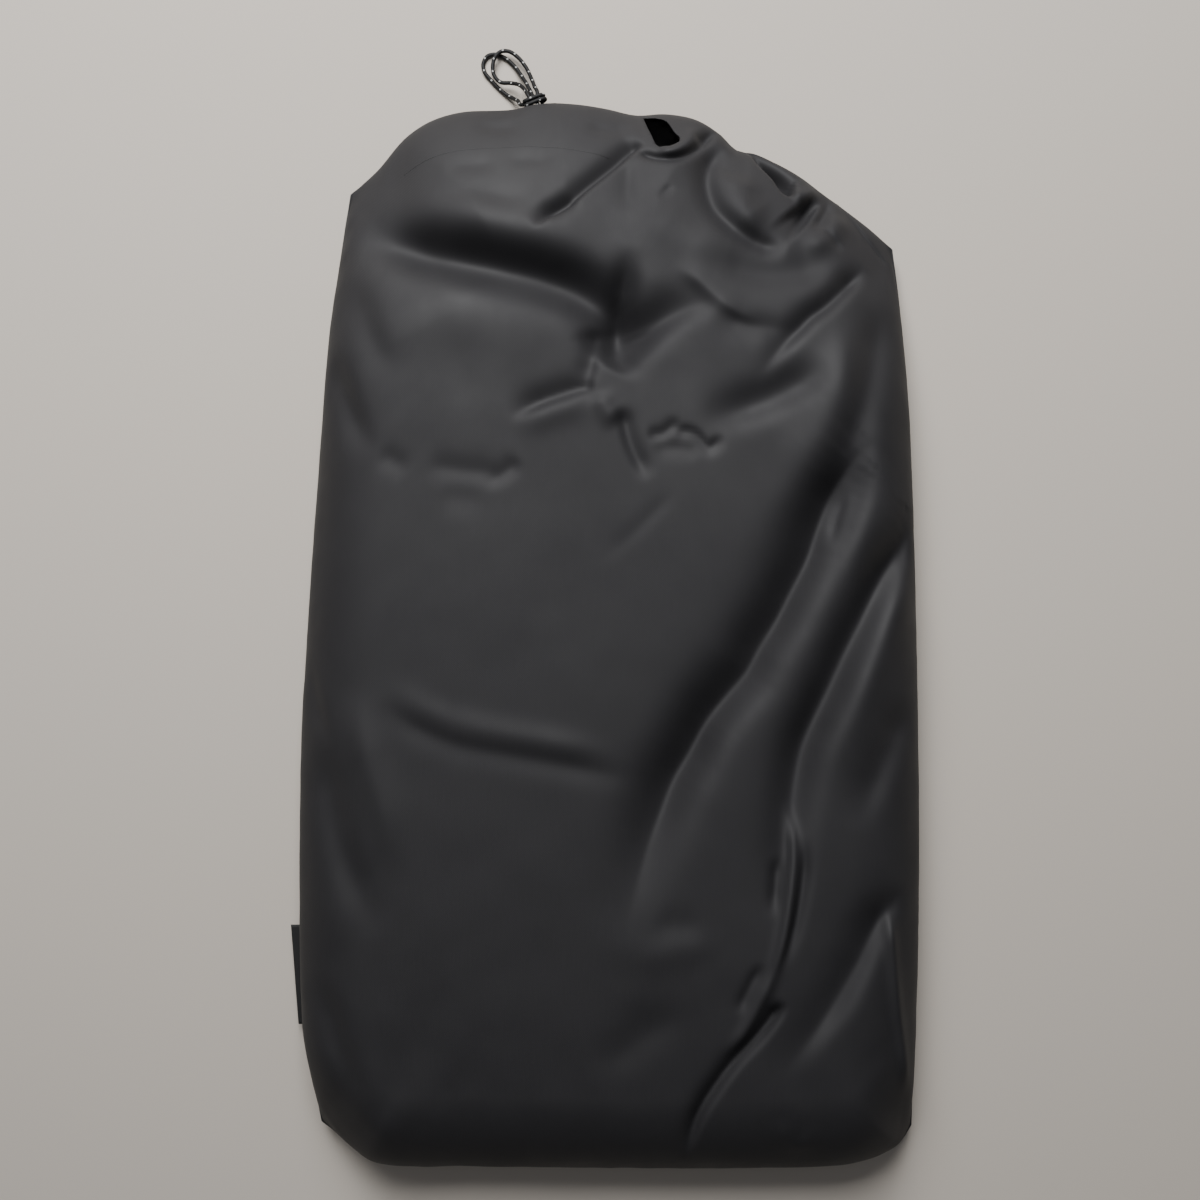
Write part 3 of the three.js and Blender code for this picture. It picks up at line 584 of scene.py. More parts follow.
def start_material(name, roughness, **constants):
    material = bpy.data.materials.new(finish_name(name))
    material.use_nodes = True
    tree = material.node_tree
    shader = tree.nodes["Principled BSDF"]
    shader.inputs["Roughness"].default_value = roughness
    for socket, value in constants.items():
        shader.inputs[socket.replace("_", " ")].default_value = value
    return material, tree, shader


def map_range(tree, value, low, high, from_low=0.0, from_high=1.0):
    node = tree.nodes.new("ShaderNodeMapRange")
    node.inputs["From Min"].default_value = from_low
    node.inputs["From Max"].default_value = from_high
    node.inputs["To Min"].default_value = low
    node.inputs["To Max"].default_value = high
    tree.links.new(value, node.inputs["Value"])
    return node.outputs["Result"]


def tinted(tree, color, factor):
    """color made lighter or darker by factor over the surface."""
    node = tree.nodes.new("ShaderNodeVectorMath")
    node.operation = "SCALE"
    node.inputs[0].default_value = color
    tree.links.new(factor, node.inputs["Scale"])
    return node.outputs["Vector"]


def bumped(tree, shader, height, strength, distance):
    relief = tree.nodes.new("ShaderNodeBump")
    relief.inputs["Strength"].default_value = strength
    relief.inputs["Distance"].default_value = distance
    tree.links.new(height, relief.inputs["Height"])
    tree.links.new(relief.outputs["Normal"], shader.inputs["Normal"])


def cloth_material(name, color, roughness, thread, bump, sheen=0.0):
    """Woven cloth: its weave in the bump, and broad soft differences in its colour and gloss."""
    variation = 0.1
    material, tree, shader = start_material(name, roughness, Sheen_Weight=sheen, Sheen_Roughness=0.4)
    uv = tree.nodes.new("ShaderNodeUVMap")
    uv.uv_map = "cloth"
    weave = tree.nodes.new("ShaderNodeGroup")
    weave.node_tree = plain_weave_group()
    weave.inputs["Thread"].default_value = thread
    tree.links.new(uv.outputs["UV"], weave.inputs["UV"])
    broad = map_range(tree, weave.outputs["Shade"], 1 - variation, 1 + variation, 0.3, 0.7)
    lines = map_range(tree, weave.outputs["Thread line"], 1 - variation / 2, 1 + variation / 2, 0.3, 0.7)
    shade = math_node(tree, "MULTIPLY", broad, lines)
    tree.links.new(tinted(tree, color, shade), shader.inputs["Base Color"])
    tree.links.new(math_node(tree, "MULTIPLY", broad, roughness), shader.inputs["Roughness"])
    bumped(tree, shader, weave.outputs["Height"], bump, 0.0001)
    return material


def cord_material(name, color, fleck_color):
    material, tree, shader = start_material(name, 0.6, Specular_IOR_Level=0.35)
    uv = tree.nodes.new("ShaderNodeUVMap")
    uv.uv_map = "cloth"
    flecks = tree.nodes.new("ShaderNodeGroup")
    flecks.node_tree = cord_flecks_group()
    tree.links.new(uv.outputs["UV"], flecks.inputs["UV"])
    mix = tree.nodes.new("ShaderNodeMix")
    mix.data_type = "RGBA"
    first, second = [socket for socket in mix.inputs if socket.type == "RGBA"]
    first.default_value = (*color, 1)
    second.default_value = (*fleck_color, 1)
    tree.links.new(flecks.outputs["Fleck"], mix.inputs[0])
    mixed = next(socket for socket in mix.outputs if socket.type == "RGBA")
    tree.links.new(mixed, shader.inputs["Base Color"])
    tree.links.new(map_range(tree, flecks.outputs["Braid"], 0.5, 0.7), shader.inputs["Roughness"])
    bumped(tree, shader, flecks.outputs["Braid"], 0.35, 0.0001)
    return material


def grained_material(name, color, roughness, metallic=0.0, grain=900.0):
    """Metal or tape with a fine grain, on the piece's own coordinates."""
    material, tree, shader = start_material(name, roughness, Metallic=metallic)
    place = tree.nodes.new("ShaderNodeTexCoord")
    cloud = noise_node(tree, place.outputs["Object"], grain, 3.0)
    tree.links.new(map_range(tree, cloud, roughness * 0.8, roughness * 1.2), shader.inputs["Roughness"])
    tree.links.new(tinted(tree, color, map_range(tree, cloud, 0.7, 1.3)), shader.inputs["Base Color"])
    bumped(tree, shader, cloud, 0.2, 0.0001)
    return material


def ribbed_material(name, color, roughness, axis, pitch):
    """Woven tape, elastic or zip: ribs across it, on the piece's own coordinates."""
    material, tree, shader = start_material(name, roughness, Sheen_Weight=0.1)
    place = tree.nodes.new("ShaderNodeTexCoord")
    split = tree.nodes.new("ShaderNodeSeparateXYZ")
    tree.links.new(place.outputs["Object"], split.inputs[0])
    turns = math_node(tree, "MULTIPLY", split.outputs[axis], 2 * math.pi / pitch)
    rib = math_node(tree, "SINE", turns)
    cloud = noise_node(tree, place.outputs["Object"], 700.0, 3.0)
    tree.links.new(tinted(tree, color, map_range(tree, cloud, 0.75, 1.25)), shader.inputs["Base Color"])
    tree.links.new(map_range(tree, rib, roughness * 0.9, roughness, -1.0, 1.0), shader.inputs["Roughness"])
    bumped(tree, shader, math_node(tree, "ADD", rib, cloud), 0.4, 0.0001)
    return material


# ---- settings --------------------------------------------------------------------------


class PouchSettings(bpy.types.PropertyGroup):
    crown: FloatProperty(
        name="Crown height", description="Height of the filled pouch",
        default=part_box("pouch_front_panel")[1].z, unit="LENGTH",
    )
    seam: FloatProperty(
        name="Seam height", description="Height of the side seams", default=0.010, unit="LENGTH"
    )
    across: IntProperty(name="Columns", description="Points across the front panel", default=251)
    along: IntProperty(name="Rows", description="Points along the front panel", default=381)
    color: FloatVectorProperty(
        name="Nylon", description="Colour of the pouch", default=(0.0134, 0.0128, 0.0146), subtype="COLOR"
    )
    roughness: FloatProperty(
        name="Roughness", description="Gloss of the nylon", default=0.71, subtype="FACTOR"
    )


class DrawcordSettings(bpy.types.PropertyGroup):
    diameter: FloatProperty(
        name="Diameter", description="Thickness of the drawcord", default=0.002, unit="LENGTH"
    )
    color: FloatVectorProperty(
        name="Cord", description="Colour of the cord", default=(0.004, 0.004, 0.0045), subtype="COLOR"
    )
    fleck: FloatVectorProperty(
        name="Flecks", description="Colour of the tracer stitches", default=(0.42, 0.42, 0.41),
        subtype="COLOR",
    )


class StitchSettings(bpy.types.PropertyGroup):
    pitch: FloatProperty(
        name="Stitch length", description="From stitch to stitch", default=0.0026, unit="LENGTH"
    )
    thread: FloatProperty(
        name="Thread", description="Thickness of the thread", default=0.00035, unit="LENGTH"
    )


class ContentsSettings(bpy.types.PropertyGroup):
    layer: FloatProperty(
        name="Layer", description="Thickness of one folded layer", default=0.003, unit="LENGTH"
    )
    clearance: FloatProperty(
        name="Clearance", description="From the contents to the pouch's cloth", default=0.0012, unit="LENGTH"
    )


class StageSettings(bpy.types.PropertyGroup):
    view_height: FloatProperty(
        name="Camera height", description="Height of the camera above the floor",
        default=VIEW_HEIGHT * MM, unit="LENGTH",
    )
    view_angle: FloatProperty(
        name="View angle", description="Angle that the view covers", default=math.radians(52), subtype="ANGLE"
    )
    window_power: FloatProperty(name="Window", description="Power of the large soft light", default=26.0)
    fill_power: FloatProperty(name="Fill", description="Power of the light from overhead", default=1.5)


# ---- the pouch's two panels ------------------------------------------------------------

# Height of each lip along the mouth, and how much more it rises over the drawcord. Millimetres.
FRONT_LIP = (9.6, 5.6)
BACK_LIP = (8.0, 3.6)

# How the gap's edge turns: each step inwards and down.
LIP_TURNS = ((0.2, 0.3), (0.1, 0.8), (-0.4, 1.2), (-1.4, 3.2), (-2.2, 4))


def lip_arch(x):
    """1 where the drawcord comes out between the lips, falling to 0 on both sides."""
    return np.exp(-(((x - CORD_EXIT_X) / 8) ** 2))


def rim_height(xy, reach, seam, at_mouth, over_cord):
    """Height of a panel's edge near each point: the seam's height, and the lip's along the mouth."""
    lip = at_mouth + over_cord * lip_arch(xy[:, 0])
    return seam + (lip - seam) * np.exp(-reach["mouth"] / 10) * smoothstep(0, 12, reach["side"])


def front_base(xy, reach, crown, seam):
    """Height of the filled front panel without its folds, in millimetres."""
    side = rolled(reach["side"] - 0.9, 41, 2.15)
    bottom = rolled(reach["bottom"] - 0.9, 48, 1.9)
    mouth = rolled(reach["mouth"], 88, 1.6)
    rim = rim_height(xy, reach, seam, *FRONT_LIP)
    return rim + (crown - rim) * side * bottom * mouth


def billow(crown, seam):
    """What the air in the pouch does to the smooth panel: a cloth simulation on a coarse grid."""
    columns, rows, frames, cap = 47, 75, 20, 0.0035
    s, t = np.linspace(0, 1, columns), np.linspace(0, 1, rows)
    xy, reach = patch(s, t)
    points = np.column_stack([xy, front_base(xy, reach, crown, seam)]) * MM
    panel = new_piece("billow", points, grid_faces(columns, rows))
    pinned = panel.vertex_groups.new(name="pinned")
    near = np.minimum.reduce([reach["side"], reach["bottom"], reach["mouth"]])
    pinned.add([int(k) for k in np.flatnonzero(near < 0.5)], 1.0, "REPLACE")
    cloth = panel.modifiers.new("cloth", "CLOTH")
    settings = cloth.settings
    settings.quality = 6
    settings.mass = 0.15
    settings.tension_stiffness = 18
    settings.compression_stiffness = 12
    settings.shear_stiffness = 6
    settings.bending_stiffness = 0.4
    settings.use_pressure = True
    settings.uniform_pressure_force = 4
    settings.vertex_group_mass = "pinned"
    settings.effector_weights.gravity = 0
    cloth.point_cache.frame_start = 1
    cloth.point_cache.frame_end = frames
    for number in range(1, frames + 1):
        bpy.context.scene.frame_set(number)
    swollen = panel.evaluated_get(bpy.context.evaluated_depsgraph_get()).to_mesh()
    moved = np.zeros(len(points) * 3)
    swollen.vertices.foreach_get("co", moved)
    shift = moved.reshape(-1, 3) - points
    shift *= min(1, cap / np.linalg.norm(shift, axis=1).max())
    panel.modifiers.remove(cloth)
    bpy.data.objects.remove(panel)
    bpy.context.scene.frame_set(1)
    return shift.reshape(rows, columns, 3)


def front_points(settings):
    """The front panel's grid: its points in millimetres and its UV map."""
    crown, seam = settings.crown / MM, settings.seam / MM
    s, t = spread(settings.across, crowded_ends), spread(settings.along, crowded_mouth)
    xy, reach = patch(s, t)
    z = front_base(xy, reach, crown, seam)
    near = np.minimum.reduce([reach["side"], reach["bottom"], reach["mouth"]])
    inward = smoothstep(0, 12, near)
    swell = billow(crown, seam)
    give = smoothstep(0.5, 10, near)
    for k, target in ((0, xy[:, 0]), (1, xy[:, 1]), (2, z)):
        target += carried(swell[..., k], s, t).reshape(-1) / MM * give
    z += all_folds(xy, laid_on_cloth(FOLDS, crown, seam)) * (0.2 + 0.8 * inward)
    seams = np.exp(-(((np.minimum(reach["side"], reach["bottom"]) - 3.5) / 4.5) ** 2))
    hem = np.exp(-(((reach["mouth"] - 6) / 6) ** 2)) * smoothstep(4, 20, reach["side"])
    for height, columns, rows, seed, where in (
        (0.3, 15, 24, 3, inward), (0.12, 34, 54, 4, inward), (0.5, 46, 74, 5, seams), (0.7, 40, 8, 6, hem),
    ):
        z += height * unevenness(s, t, columns, rows, seed) * where
    rim = near < 1e-6
    z[rim] = rim_height(xy, reach, seam, *FRONT_LIP)[rim]
    z = np.maximum(z, 6.5 + 3 * np.exp(-reach["mouth"] / 6))
    S, T = np.meshgrid(s, t)
    uv = np.stack([S.ravel() * 0.36, T.ravel() * 0.58], axis=1)
    return np.column_stack([xy, z]), uv


def open_mouth(piece, gap):
    """Cuts the gap between the lips and turns its edge down into the pouch."""
    bm = bmesh.new()
    bm.from_mesh(piece.data)
    panel_rim = {edge for edge in bm.edges if edge.is_boundary}
    middles = np.array([tuple(face.calc_center_median()) for face in bm.faces])[:, :2] / MM
    inside = inside_by(middles, gap) > 0.15
    bmesh.ops.delete(bm, geom=[face for face, gone in zip(bm.faces, inside) if gone], context="FACES")
    ring = [edge for edge in bm.edges if edge.is_boundary and edge not in panel_rim]
    fine = smooth_line(np.vstack([gap, gap[:1]]), 240)
    middle = fine.mean(0)
    for vertex in {v for e in ring for v in e.verts}:
        here = np.array(vertex.co[:2]) / MM
        nearest = fine[np.argmin(np.linalg.norm(fine - here, axis=1))]
        vertex.co.x, vertex.co.y = nearest * MM
    uv_layer = bm.loops.layers.uv["cloth"]
    for inward, down in LIP_TURNS:
        made = bmesh.ops.extrude_edge_only(bm, edges=ring)["geom"]
        ring = [g for g in made if isinstance(g, bmesh.types.BMEdge)]
        for vertex in [g for g in made if isinstance(g, bmesh.types.BMVert)]:
            way = middle - np.array(vertex.co[:2]) / MM
            way /= max(np.linalg.norm(way), 1e-6)
            vertex.co.x += way[0] * inward * MM
            vertex.co.y += way[1] * inward * MM
            vertex.co.z = max(vertex.co.z - down * MM, LIP_LOWEST * MM)
        for face in [g for g in made if isinstance(g, bmesh.types.BMFace)]:
            face.smooth = True
            for loop in face.loops:
                loop[uv_layer].uv = (loop.vert.co.x, loop.vert.co.y + loop.vert.co.z)
        ring = [e for e in ring if e.is_boundary]
    bmesh.ops.recalc_face_normals(bm, faces=bm.faces)
    bm.to_mesh(piece.data)
    bm.free()


class POUCH_OT_front(bpy.types.Operator):
    """Front panel of the pouch: one sheet of cloth over the contents, with its folds and its mouth"""

    bl_idname = "pouch.front"
    bl_label = "Front panel"

    def execute(self, context):
        settings = context.scene.pouch
        points, uv = front_points(settings)
        piece = new_piece("pouch_front", points * MM, grid_faces(settings.across, settings.along), uv)
        open_mouth(piece, mouth_gap(settings))
        finish_piece(piece, "pouch_nylon", "pouch", "pouch_nylon", "pouch_front_panel")
        return {"FINISHED"}


class POUCH_OT_back(bpy.types.Operator):
    """Back panel of the pouch: the sheet of cloth that it lies on"""

    bl_idname = "pouch.back"
    bl_label = "Back panel"

    def execute(self, context):
        seam = context.scene.pouch.seam / MM
        across, along = 151, 241
        s, t = spread(across, crowded_ends), spread(along, crowded_ends)
        xy, reach = patch(s, t)
        near = np.minimum.reduce([reach["side"] - 0.9, reach["bottom"] - 0.9, reach["mouth"]])
        rim = rim_height(xy, reach, seam, *BACK_LIP)
        z = rim * (1 - rolled(near, 13, 2.0))
        lifted = smoothstep(0, 30, near)
        z += np.maximum(all_folds(xy, BACK_FOLDS), 0) * lifted
        z += np.maximum(0.35 * unevenness(s, t, 18, 28, 11), 0) * lifted
        seams = np.exp(-(((np.minimum(reach["side"], reach["bottom"]) - 4) / 5) ** 2))
        z += 0.5 * unevenness(s, t, 46, 74, 12) * seams
        z = np.maximum(z, 0.05)
        on_rim = near < 1e-6
        z[on_rim] = rim[on_rim]
        S, T = np.meshgrid(s, t)
        uv = np.stack([S.ravel() * 0.34, T.ravel() * 0.56], axis=1)
        points = np.column_stack([xy, z]) * MM
        piece = new_piece("pouch_back", points, grid_faces(across, along, upward=False), uv)
        finish_piece(piece, "pouch_nylon", "pouch", "pouch_nylon", "pouch_back_panel")
        return {"FINISHED"}


class POUCH_OT_hems(bpy.types.Operator):
    """The two hems turned in along the mouth"""

    bl_idname = "pouch.hems"
    bl_label = "Mouth hems"

    def execute(self, context):
        edge = smooth_line(MOUTH_EDGE, 240)[6:-6]
        tangent = np.gradient(edge, axis=0)
        tangent /= np.linalg.norm(tangent, axis=1)[:, None]
        inward = np.stack([tangent[:, 1], -tangent[:, 0]], axis=1)
        depths = np.array([0, 0.4, 1.2, 2.5, 5, 8, 11, 14, 17, 20])
        for name, node, (at_mouth, over_cord), rise in (
            ("hem_front", "mouth_hem_front", FRONT_LIP, 0.12),
            ("hem_back", "mouth_hem_back", BACK_LIP, -0.1),
        ):
            ends = np.clip(np.linspace(0, 1, len(edge)) * 12, 0, 1)
            ends = np.minimum(ends, ends[::-1])
            rim = 9 + (at_mouth + over_cord * lip_arch(edge[:, 0]) - 9) * ends
            points = []
            for k, depth in enumerate(depths):
                xy = edge + inward * (depth + 0.15)
                z = rim + rise * depth - 0.25 * np.sin(min(depth, 2.5) / 2.5 * math.pi)
                points.append(np.column_stack([xy, z]))
            points = np.vstack(points)
            uv = np.stack([np.tile(np.linspace(0, 0.36, len(edge)), len(depths)),
                           np.repeat(depths * MM, len(edge))], axis=1)
            faces = grid_faces(len(edge), len(depths), upward=name == "hem_back")
            middles = np.array([points[list(face)].mean(0)[:2] for face in faces])
            clear = inside_by(middles, mouth_gap(context.scene.pouch)) < -3
            piece = new_piece(name, points * MM, [face for face, kept in zip(faces, clear) if kept], uv)
            thicken(piece, 0.35)
            finish_piece(piece, "pouch_nylon", "pouch", "pouch_nylon", node)
        return {"FINISHED"}


def thicken(piece, thickness_mm):
    """Gives a sheet a wall, on its inner side, as plain mesh."""
    modifier = piece.modifiers.new("wall", "SOLIDIFY")
    modifier.thickness = thickness_mm * MM
    modifier.offset = -1
    apply_modifiers(piece)


def apply_modifiers(piece):
    bpy.context.view_layer.update()
    evaluated = piece.evaluated_get(bpy.context.evaluated_depsgraph_get())
    mesh = bpy.data.meshes.new_from_object(evaluated)
    piece.modifiers.clear()
    old = piece.data
    piece.data = mesh
    bpy.data.meshes.remove(old)


def surface_height(piece):
    """A function that gives the height of a piece's top at x and y, all in metres."""
    mesh = piece.data
    tree = BVHTree.FromPolygons([v.co for v in mesh.vertices], [p.vertices for p in mesh.polygons])

    def height(x, y, default):
        hit = tree.ray_cast(Vector((x, y, 0.2)), Vector((0, 0, -1)))
        return default if hit[0] is None else hit[0].z

    return height


# ---- stitches --------------------------------------------------------------------------

# Where the drawcord tunnels' stitching shows, in millimetres.
STITCH_LINES = {
    "hem_stitches_left": ("pouch_front", [(-96, 224), (-86, 229), (-72, 232.6), (-52, 234.4), (-34, 235.2),
                                          (-16, 233), (2, 229.6)]),
    "hem_stitches_right": ("pouch_front", [(116.6, 215), (122, 208), (129, 199), (136, 190.5),
                                           (141.5, 183.6)]),
}


def stitch_tree():
    """Geometry nodes: a run of thread stitches along a curve."""
    tree = bpy.data.node_groups.new("stitches", "GeometryNodeTree")
    face = tree.interface
    face.new_socket("Line", in_out="INPUT", socket_type="NodeSocketGeometry")
    inputs = {}
    for name, kind in (("Pitch", "Float"), ("Thread", "Float"), ("Material", "Material")):
        made = face.new_socket(name, in_out="INPUT", socket_type=f"NodeSocket{kind}")
        inputs[name] = made.identifier
    face.new_socket("Stitches", in_out="OUTPUT", socket_type="NodeSocketGeometry")
    start, end = tree.nodes.new("NodeGroupInput"), tree.nodes.new("NodeGroupOutput")
    link = tree.links.new

    to_curve = tree.nodes.new("GeometryNodeMeshToCurve")
    link(start.outputs["Line"], to_curve.inputs["Mesh"])
    points = tree.nodes.new("GeometryNodeCurveToPoints")
    points.mode = "LENGTH"
    link(to_curve.outputs["Curve"], points.inputs["Curve"])
    link(start.outputs["Pitch"], points.inputs["Length"])

    half = math_node(tree, "MULTIPLY", start.outputs["Pitch"], 0.38)
    back = math_node(tree, "MULTIPLY", half, -1)
    rise = math_node(tree, "MULTIPLY", start.outputs["Thread"], 1.1)
    bow = tree.nodes.new("GeometryNodeCurveQuadraticBezier")
    bow.inputs["Resolution"].default_value = 4
    for name, axis, value in (("Start", "Z", back), ("Middle", "X", rise), ("End", "Z", half)):
        place = tree.nodes.new("ShaderNodeCombineXYZ")
        link(value, place.inputs[axis])
        link(place.outputs[0], bow.inputs[name])
    ring = tree.nodes.new("GeometryNodeCurvePrimitiveCircle")
    ring.inputs["Resolution"].default_value = 6
    link(math_node(tree, "MULTIPLY", start.outputs["Thread"], 0.5), ring.inputs["Radius"])
    stitch = tree.nodes.new("GeometryNodeCurveToMesh")
    link(bow.outputs["Curve"], stitch.inputs["Curve"])
    link(ring.outputs["Curve"], stitch.inputs["Profile Curve"])
    stitch.inputs["Fill Caps"].default_value = True

    place = tree.nodes.new("GeometryNodeInstanceOnPoints")
    link(points.outputs["Points"], place.inputs["Points"])
    link(stitch.outputs["Mesh"], place.inputs["Instance"])
    link(points.outputs["Rotation"], place.inputs["Rotation"])
    real = tree.nodes.new("GeometryNodeRealizeInstances")
    link(place.outputs["Instances"], real.inputs["Geometry"])
    paint = tree.nodes.new("GeometryNodeSetMaterial")
    link(real.outputs["Geometry"], paint.inputs["Geometry"])
    link(start.outputs["Material"], paint.inputs["Material"])
    link(paint.outputs["Geometry"], end.inputs["Stitches"])
    return tree, inputs


class POUCH_OT_stitches(bpy.types.Operator):
    """Rows of stitches that hold the drawcord tunnels"""

    bl_idname = "pouch.stitches"
    bl_label = "Stitches"

    def execute(self, context):
        settings = context.scene.stitches
        tree, inputs = stitch_tree()
        for name, (cloth, route) in STITCH_LINES.items():
            height = surface_height(bpy.data.objects[cloth])
            line = smooth_line(route, 160) * MM
            points = [(x, y, height(x, y, 0.01) + settings.thread * 0.1) for x, y in line]
            piece = new_piece(name, points, [])
            piece.data.edges.add(len(points) - 1)
            piece.data.edges.foreach_set("vertices", [k for i in range(len(points) - 1) for k in (i, i + 1)])
            modifier = piece.modifiers.new("stitches", "NODES")
            modifier.node_group = tree
            modifier[inputs["Pitch"]] = settings.pitch
            modifier[inputs["Thread"]] = settings.thread
            modifier[inputs["Material"]] = bpy.data.materials[finish_name("thread")]
            apply_modifiers(piece)
            if not piece.data.polygons:
                raise RuntimeError(f"{name} has no stitches")
            finish_piece(piece, "thread", "pouch", "pouch_nylon")
        return {"FINISHED"}


# ---- drawcord --------------------------------------------------------------------------

LOOP_UPPER = [
    (-32.7, 269.9, 13.3), (-34.2, 273.9, 10.6), (-36, 279.4, 7.2), (-39, 286.4, 4.4), (-43, 291.6, 3.7),
    (-47.6, 294.6, 3.7), (-51.7, 294.5, 3.7), (-54.6, 291.7, 3.7), (-55.8, 287.2, 3.7), (-55, 282.3, 3.7),
    (-51.8, 279, 3.8), (-46.6, 278.3, 4.4), (-42.8, 276.7, 6.6), (-39.6, 273, 10.2), (-37.6, 269.1, 12.9),
]
LOOP_LOWER = [
    (-35, 268.6, 10.9), (-37.3, 274.5, 7.6), (-40.8, 281.7, 3.6), (-44.6, 287.7, 1.5), (-49.2, 292, 1.1),
    (-54.4, 294.2, 1.1), (-58.8, 293.2, 1.1), (-60.9, 289.3, 1.1), (-60, 285, 1.1), (-57, 281.3, 1.1),
    (-53.4, 277.4, 1.1), (-49.4, 273.9, 1.4), (-45.6, 271.2, 3), (-42.8, 268.4, 6.4), (-41.2, 264.8, 10.8),
]
# Where the loops' ends lie inside the knot: the upper loop's two, then the lower loop's.
UPPER_ENDS = (-33, 267, 13.6), (-36.3, 266.4, 13.4)
LOWER_ENDS = (-34.4, 266.6, 12.6), (-38.4, 264.2, 13)
HEM_CORD = [
    (-29, 249.5, 13.6), (-16, 249.5, 14.2), (4, 246, 16), (22, 236, 18), (44, 237, 17), (61, 231, 13.8),
    (98, 209, 12.8), (133, 183.5, 12.2), (137, 180.5, 8.4), (133, 183.5, 4.8), (98, 209, 4.5), (61, 232, 4.5),
    (26, 243, 4.5), (-16, 248, 4.5), (-66, 245, 4.5), (-93, 234, 4.5), (-117, 209, 4.8), (-120.5, 205, 8.6),
    (-117, 209, 12.4), (-93, 234, 12.8), (-66, 244.5, 13.2), (-40, 248.5, 13.5),
]
KNOT_AT = np.array([-34, 265.9, 13.5])
KNOT_ALONG = np.array([0.9117, 0.4108, 0])
KNOT_ACROSS = np.array([-0.4108, 0.9117, 0])


def knot_wraps():
    """The cord wound twice round its own strands, its turns flat and side by side."""
    turns = np.linspace(-0.2, 1.7, 130)
    phase = 2 * math.pi * turns
    flat = np.sign(np.cos(phase)) * abs(np.cos(phase)) ** 0.75
    return (
        KNOT_AT
        + 5.0 * flat[:, None] * KNOT_ALONG
        + 1.3 * np.sin(phase)[:, None] * np.array([0, 0, 1])
        + ((turns - 0.75) * 2.1)[:, None] * KNOT_ACROSS
    )


class POUCH_OT_drawcord(bpy.types.Operator):
    """The drawcord: its two loops, its knot, its leads and its run inside the hems"""

    bl_idname = "pouch.drawcord"
    bl_label = "Drawcord"

    def execute(self, context):
        settings = context.scene.drawcord
        radius = settings.diameter / MM / 2
        knot = new_piece("knot", *tube(knot_wraps() * MM, radius * MM))
        tidy_normals(knot, merged_within=1e-6)
        finish_piece(knot, "drawcord", "drawcord_knot", "drawcord", "drawcord_knot")

        for side, node in ((-1, "drawcord_lead_left"), (1, "drawcord_lead_right")):
            low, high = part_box(node)
            x, z = (low.x + high.x) / 2 / MM, (low.z + high.z) / 2 / MM
            lead, _ = braided_cord(
                "lead_left" if side < 0 else "lead_right",
                [(x, low.y / MM, z), (x, (low.y + high.y) / 2 / MM, z), (x, high.y / MM + 1.5, z)], radius,
            )
            finish_piece(lead, "drawcord", "drawcord_knot", "drawcord", node)

        for name, node, route, (first, last) in (
            ("loop_upper", "drawcord_loop_upper", LOOP_UPPER, UPPER_ENDS),
            ("loop_lower", "drawcord_loop_lower", LOOP_LOWER, LOWER_ENDS),
        ):
            loop, line = braided_cord(name, [first, *route, last], radius)
            finish_piece(loop, "drawcord", "drawcord_loops", "drawcord", node)

        inside, _ = braided_cord("cord_in_hem", HEM_CORD, radius, step_mm=0.9)
        finish_piece(inside, "drawcord", "pouch", "drawcord", "drawcord_in_hem")
        return {"FINISHED"}


# ---- label -----------------------------------------------------------------------------


class POUCH_OT_label(bpy.types.Operator):
    """Woven label folded in two and sewn into the left-hand seam"""

    bl_idname = "pouch.label"
    bl_label = "Side label"

    def execute(self, context):
        low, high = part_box("side_label")
        rows = 40
        root_x, middle_z = -0.1486, (low.z + high.z) / 2
        tip_low, tip_high = low.x + 0.0039, low.x
        half, steps = 0.00022, 10
        points, uv = [], []
        turn = np.linspace(0, math.pi, steps)
        columns = 0
        for j in range(rows):
            share = j / (rows - 1)
            y = low.y + (high.y - low.y) * share
            tip = tip_low + (tip_high - tip_low) * share
            wave = 0.00018 * math.sin(5.2 * share + 0.6)
            across = np.linspace(root_x, tip + half, 12)
            top = [(x, y, middle_z + half + wave * (root_x - x) / (root_x - tip)) for x in across]
            fold = [
                (tip + half - half * math.sin(a), y, middle_z + half * math.cos(a) + wave)
                for a in turn[1:-1]
            ]
            under = [(x, y, middle_z - half + wave * (root_x - x) / (root_x - tip)) for x in across[::-1]]
            row = top + fold + under
            columns = len(row)
            points.extend(row)
            passed = np.concatenate([[0], np.cumsum(np.linalg.norm(np.diff(np.array(row), axis=0), axis=1))])
            uv.extend([(p, y - low.y) for p in passed])
        piece = new_piece("woven_label", points, grid_faces(columns, rows, upward=False), uv)
        modifier = piece.modifiers.new("wall", "SOLIDIFY")
        modifier.thickness = 0.00028
        modifier.offset = 0
        apply_modifiers(piece)
        finish_piece(piece, "label_weave", "side_label", "label_weave", "side_label")
        return {"FINISHED"}


# ---- the folded changing bag -----------------------------------------------------------

# Where the top layer ends, and where the elastics draw each sleeve in, with its width there.
TOP_LAYER_END = 107.4
GATHERS = ((-91, 0.93), (-45, 0.95))


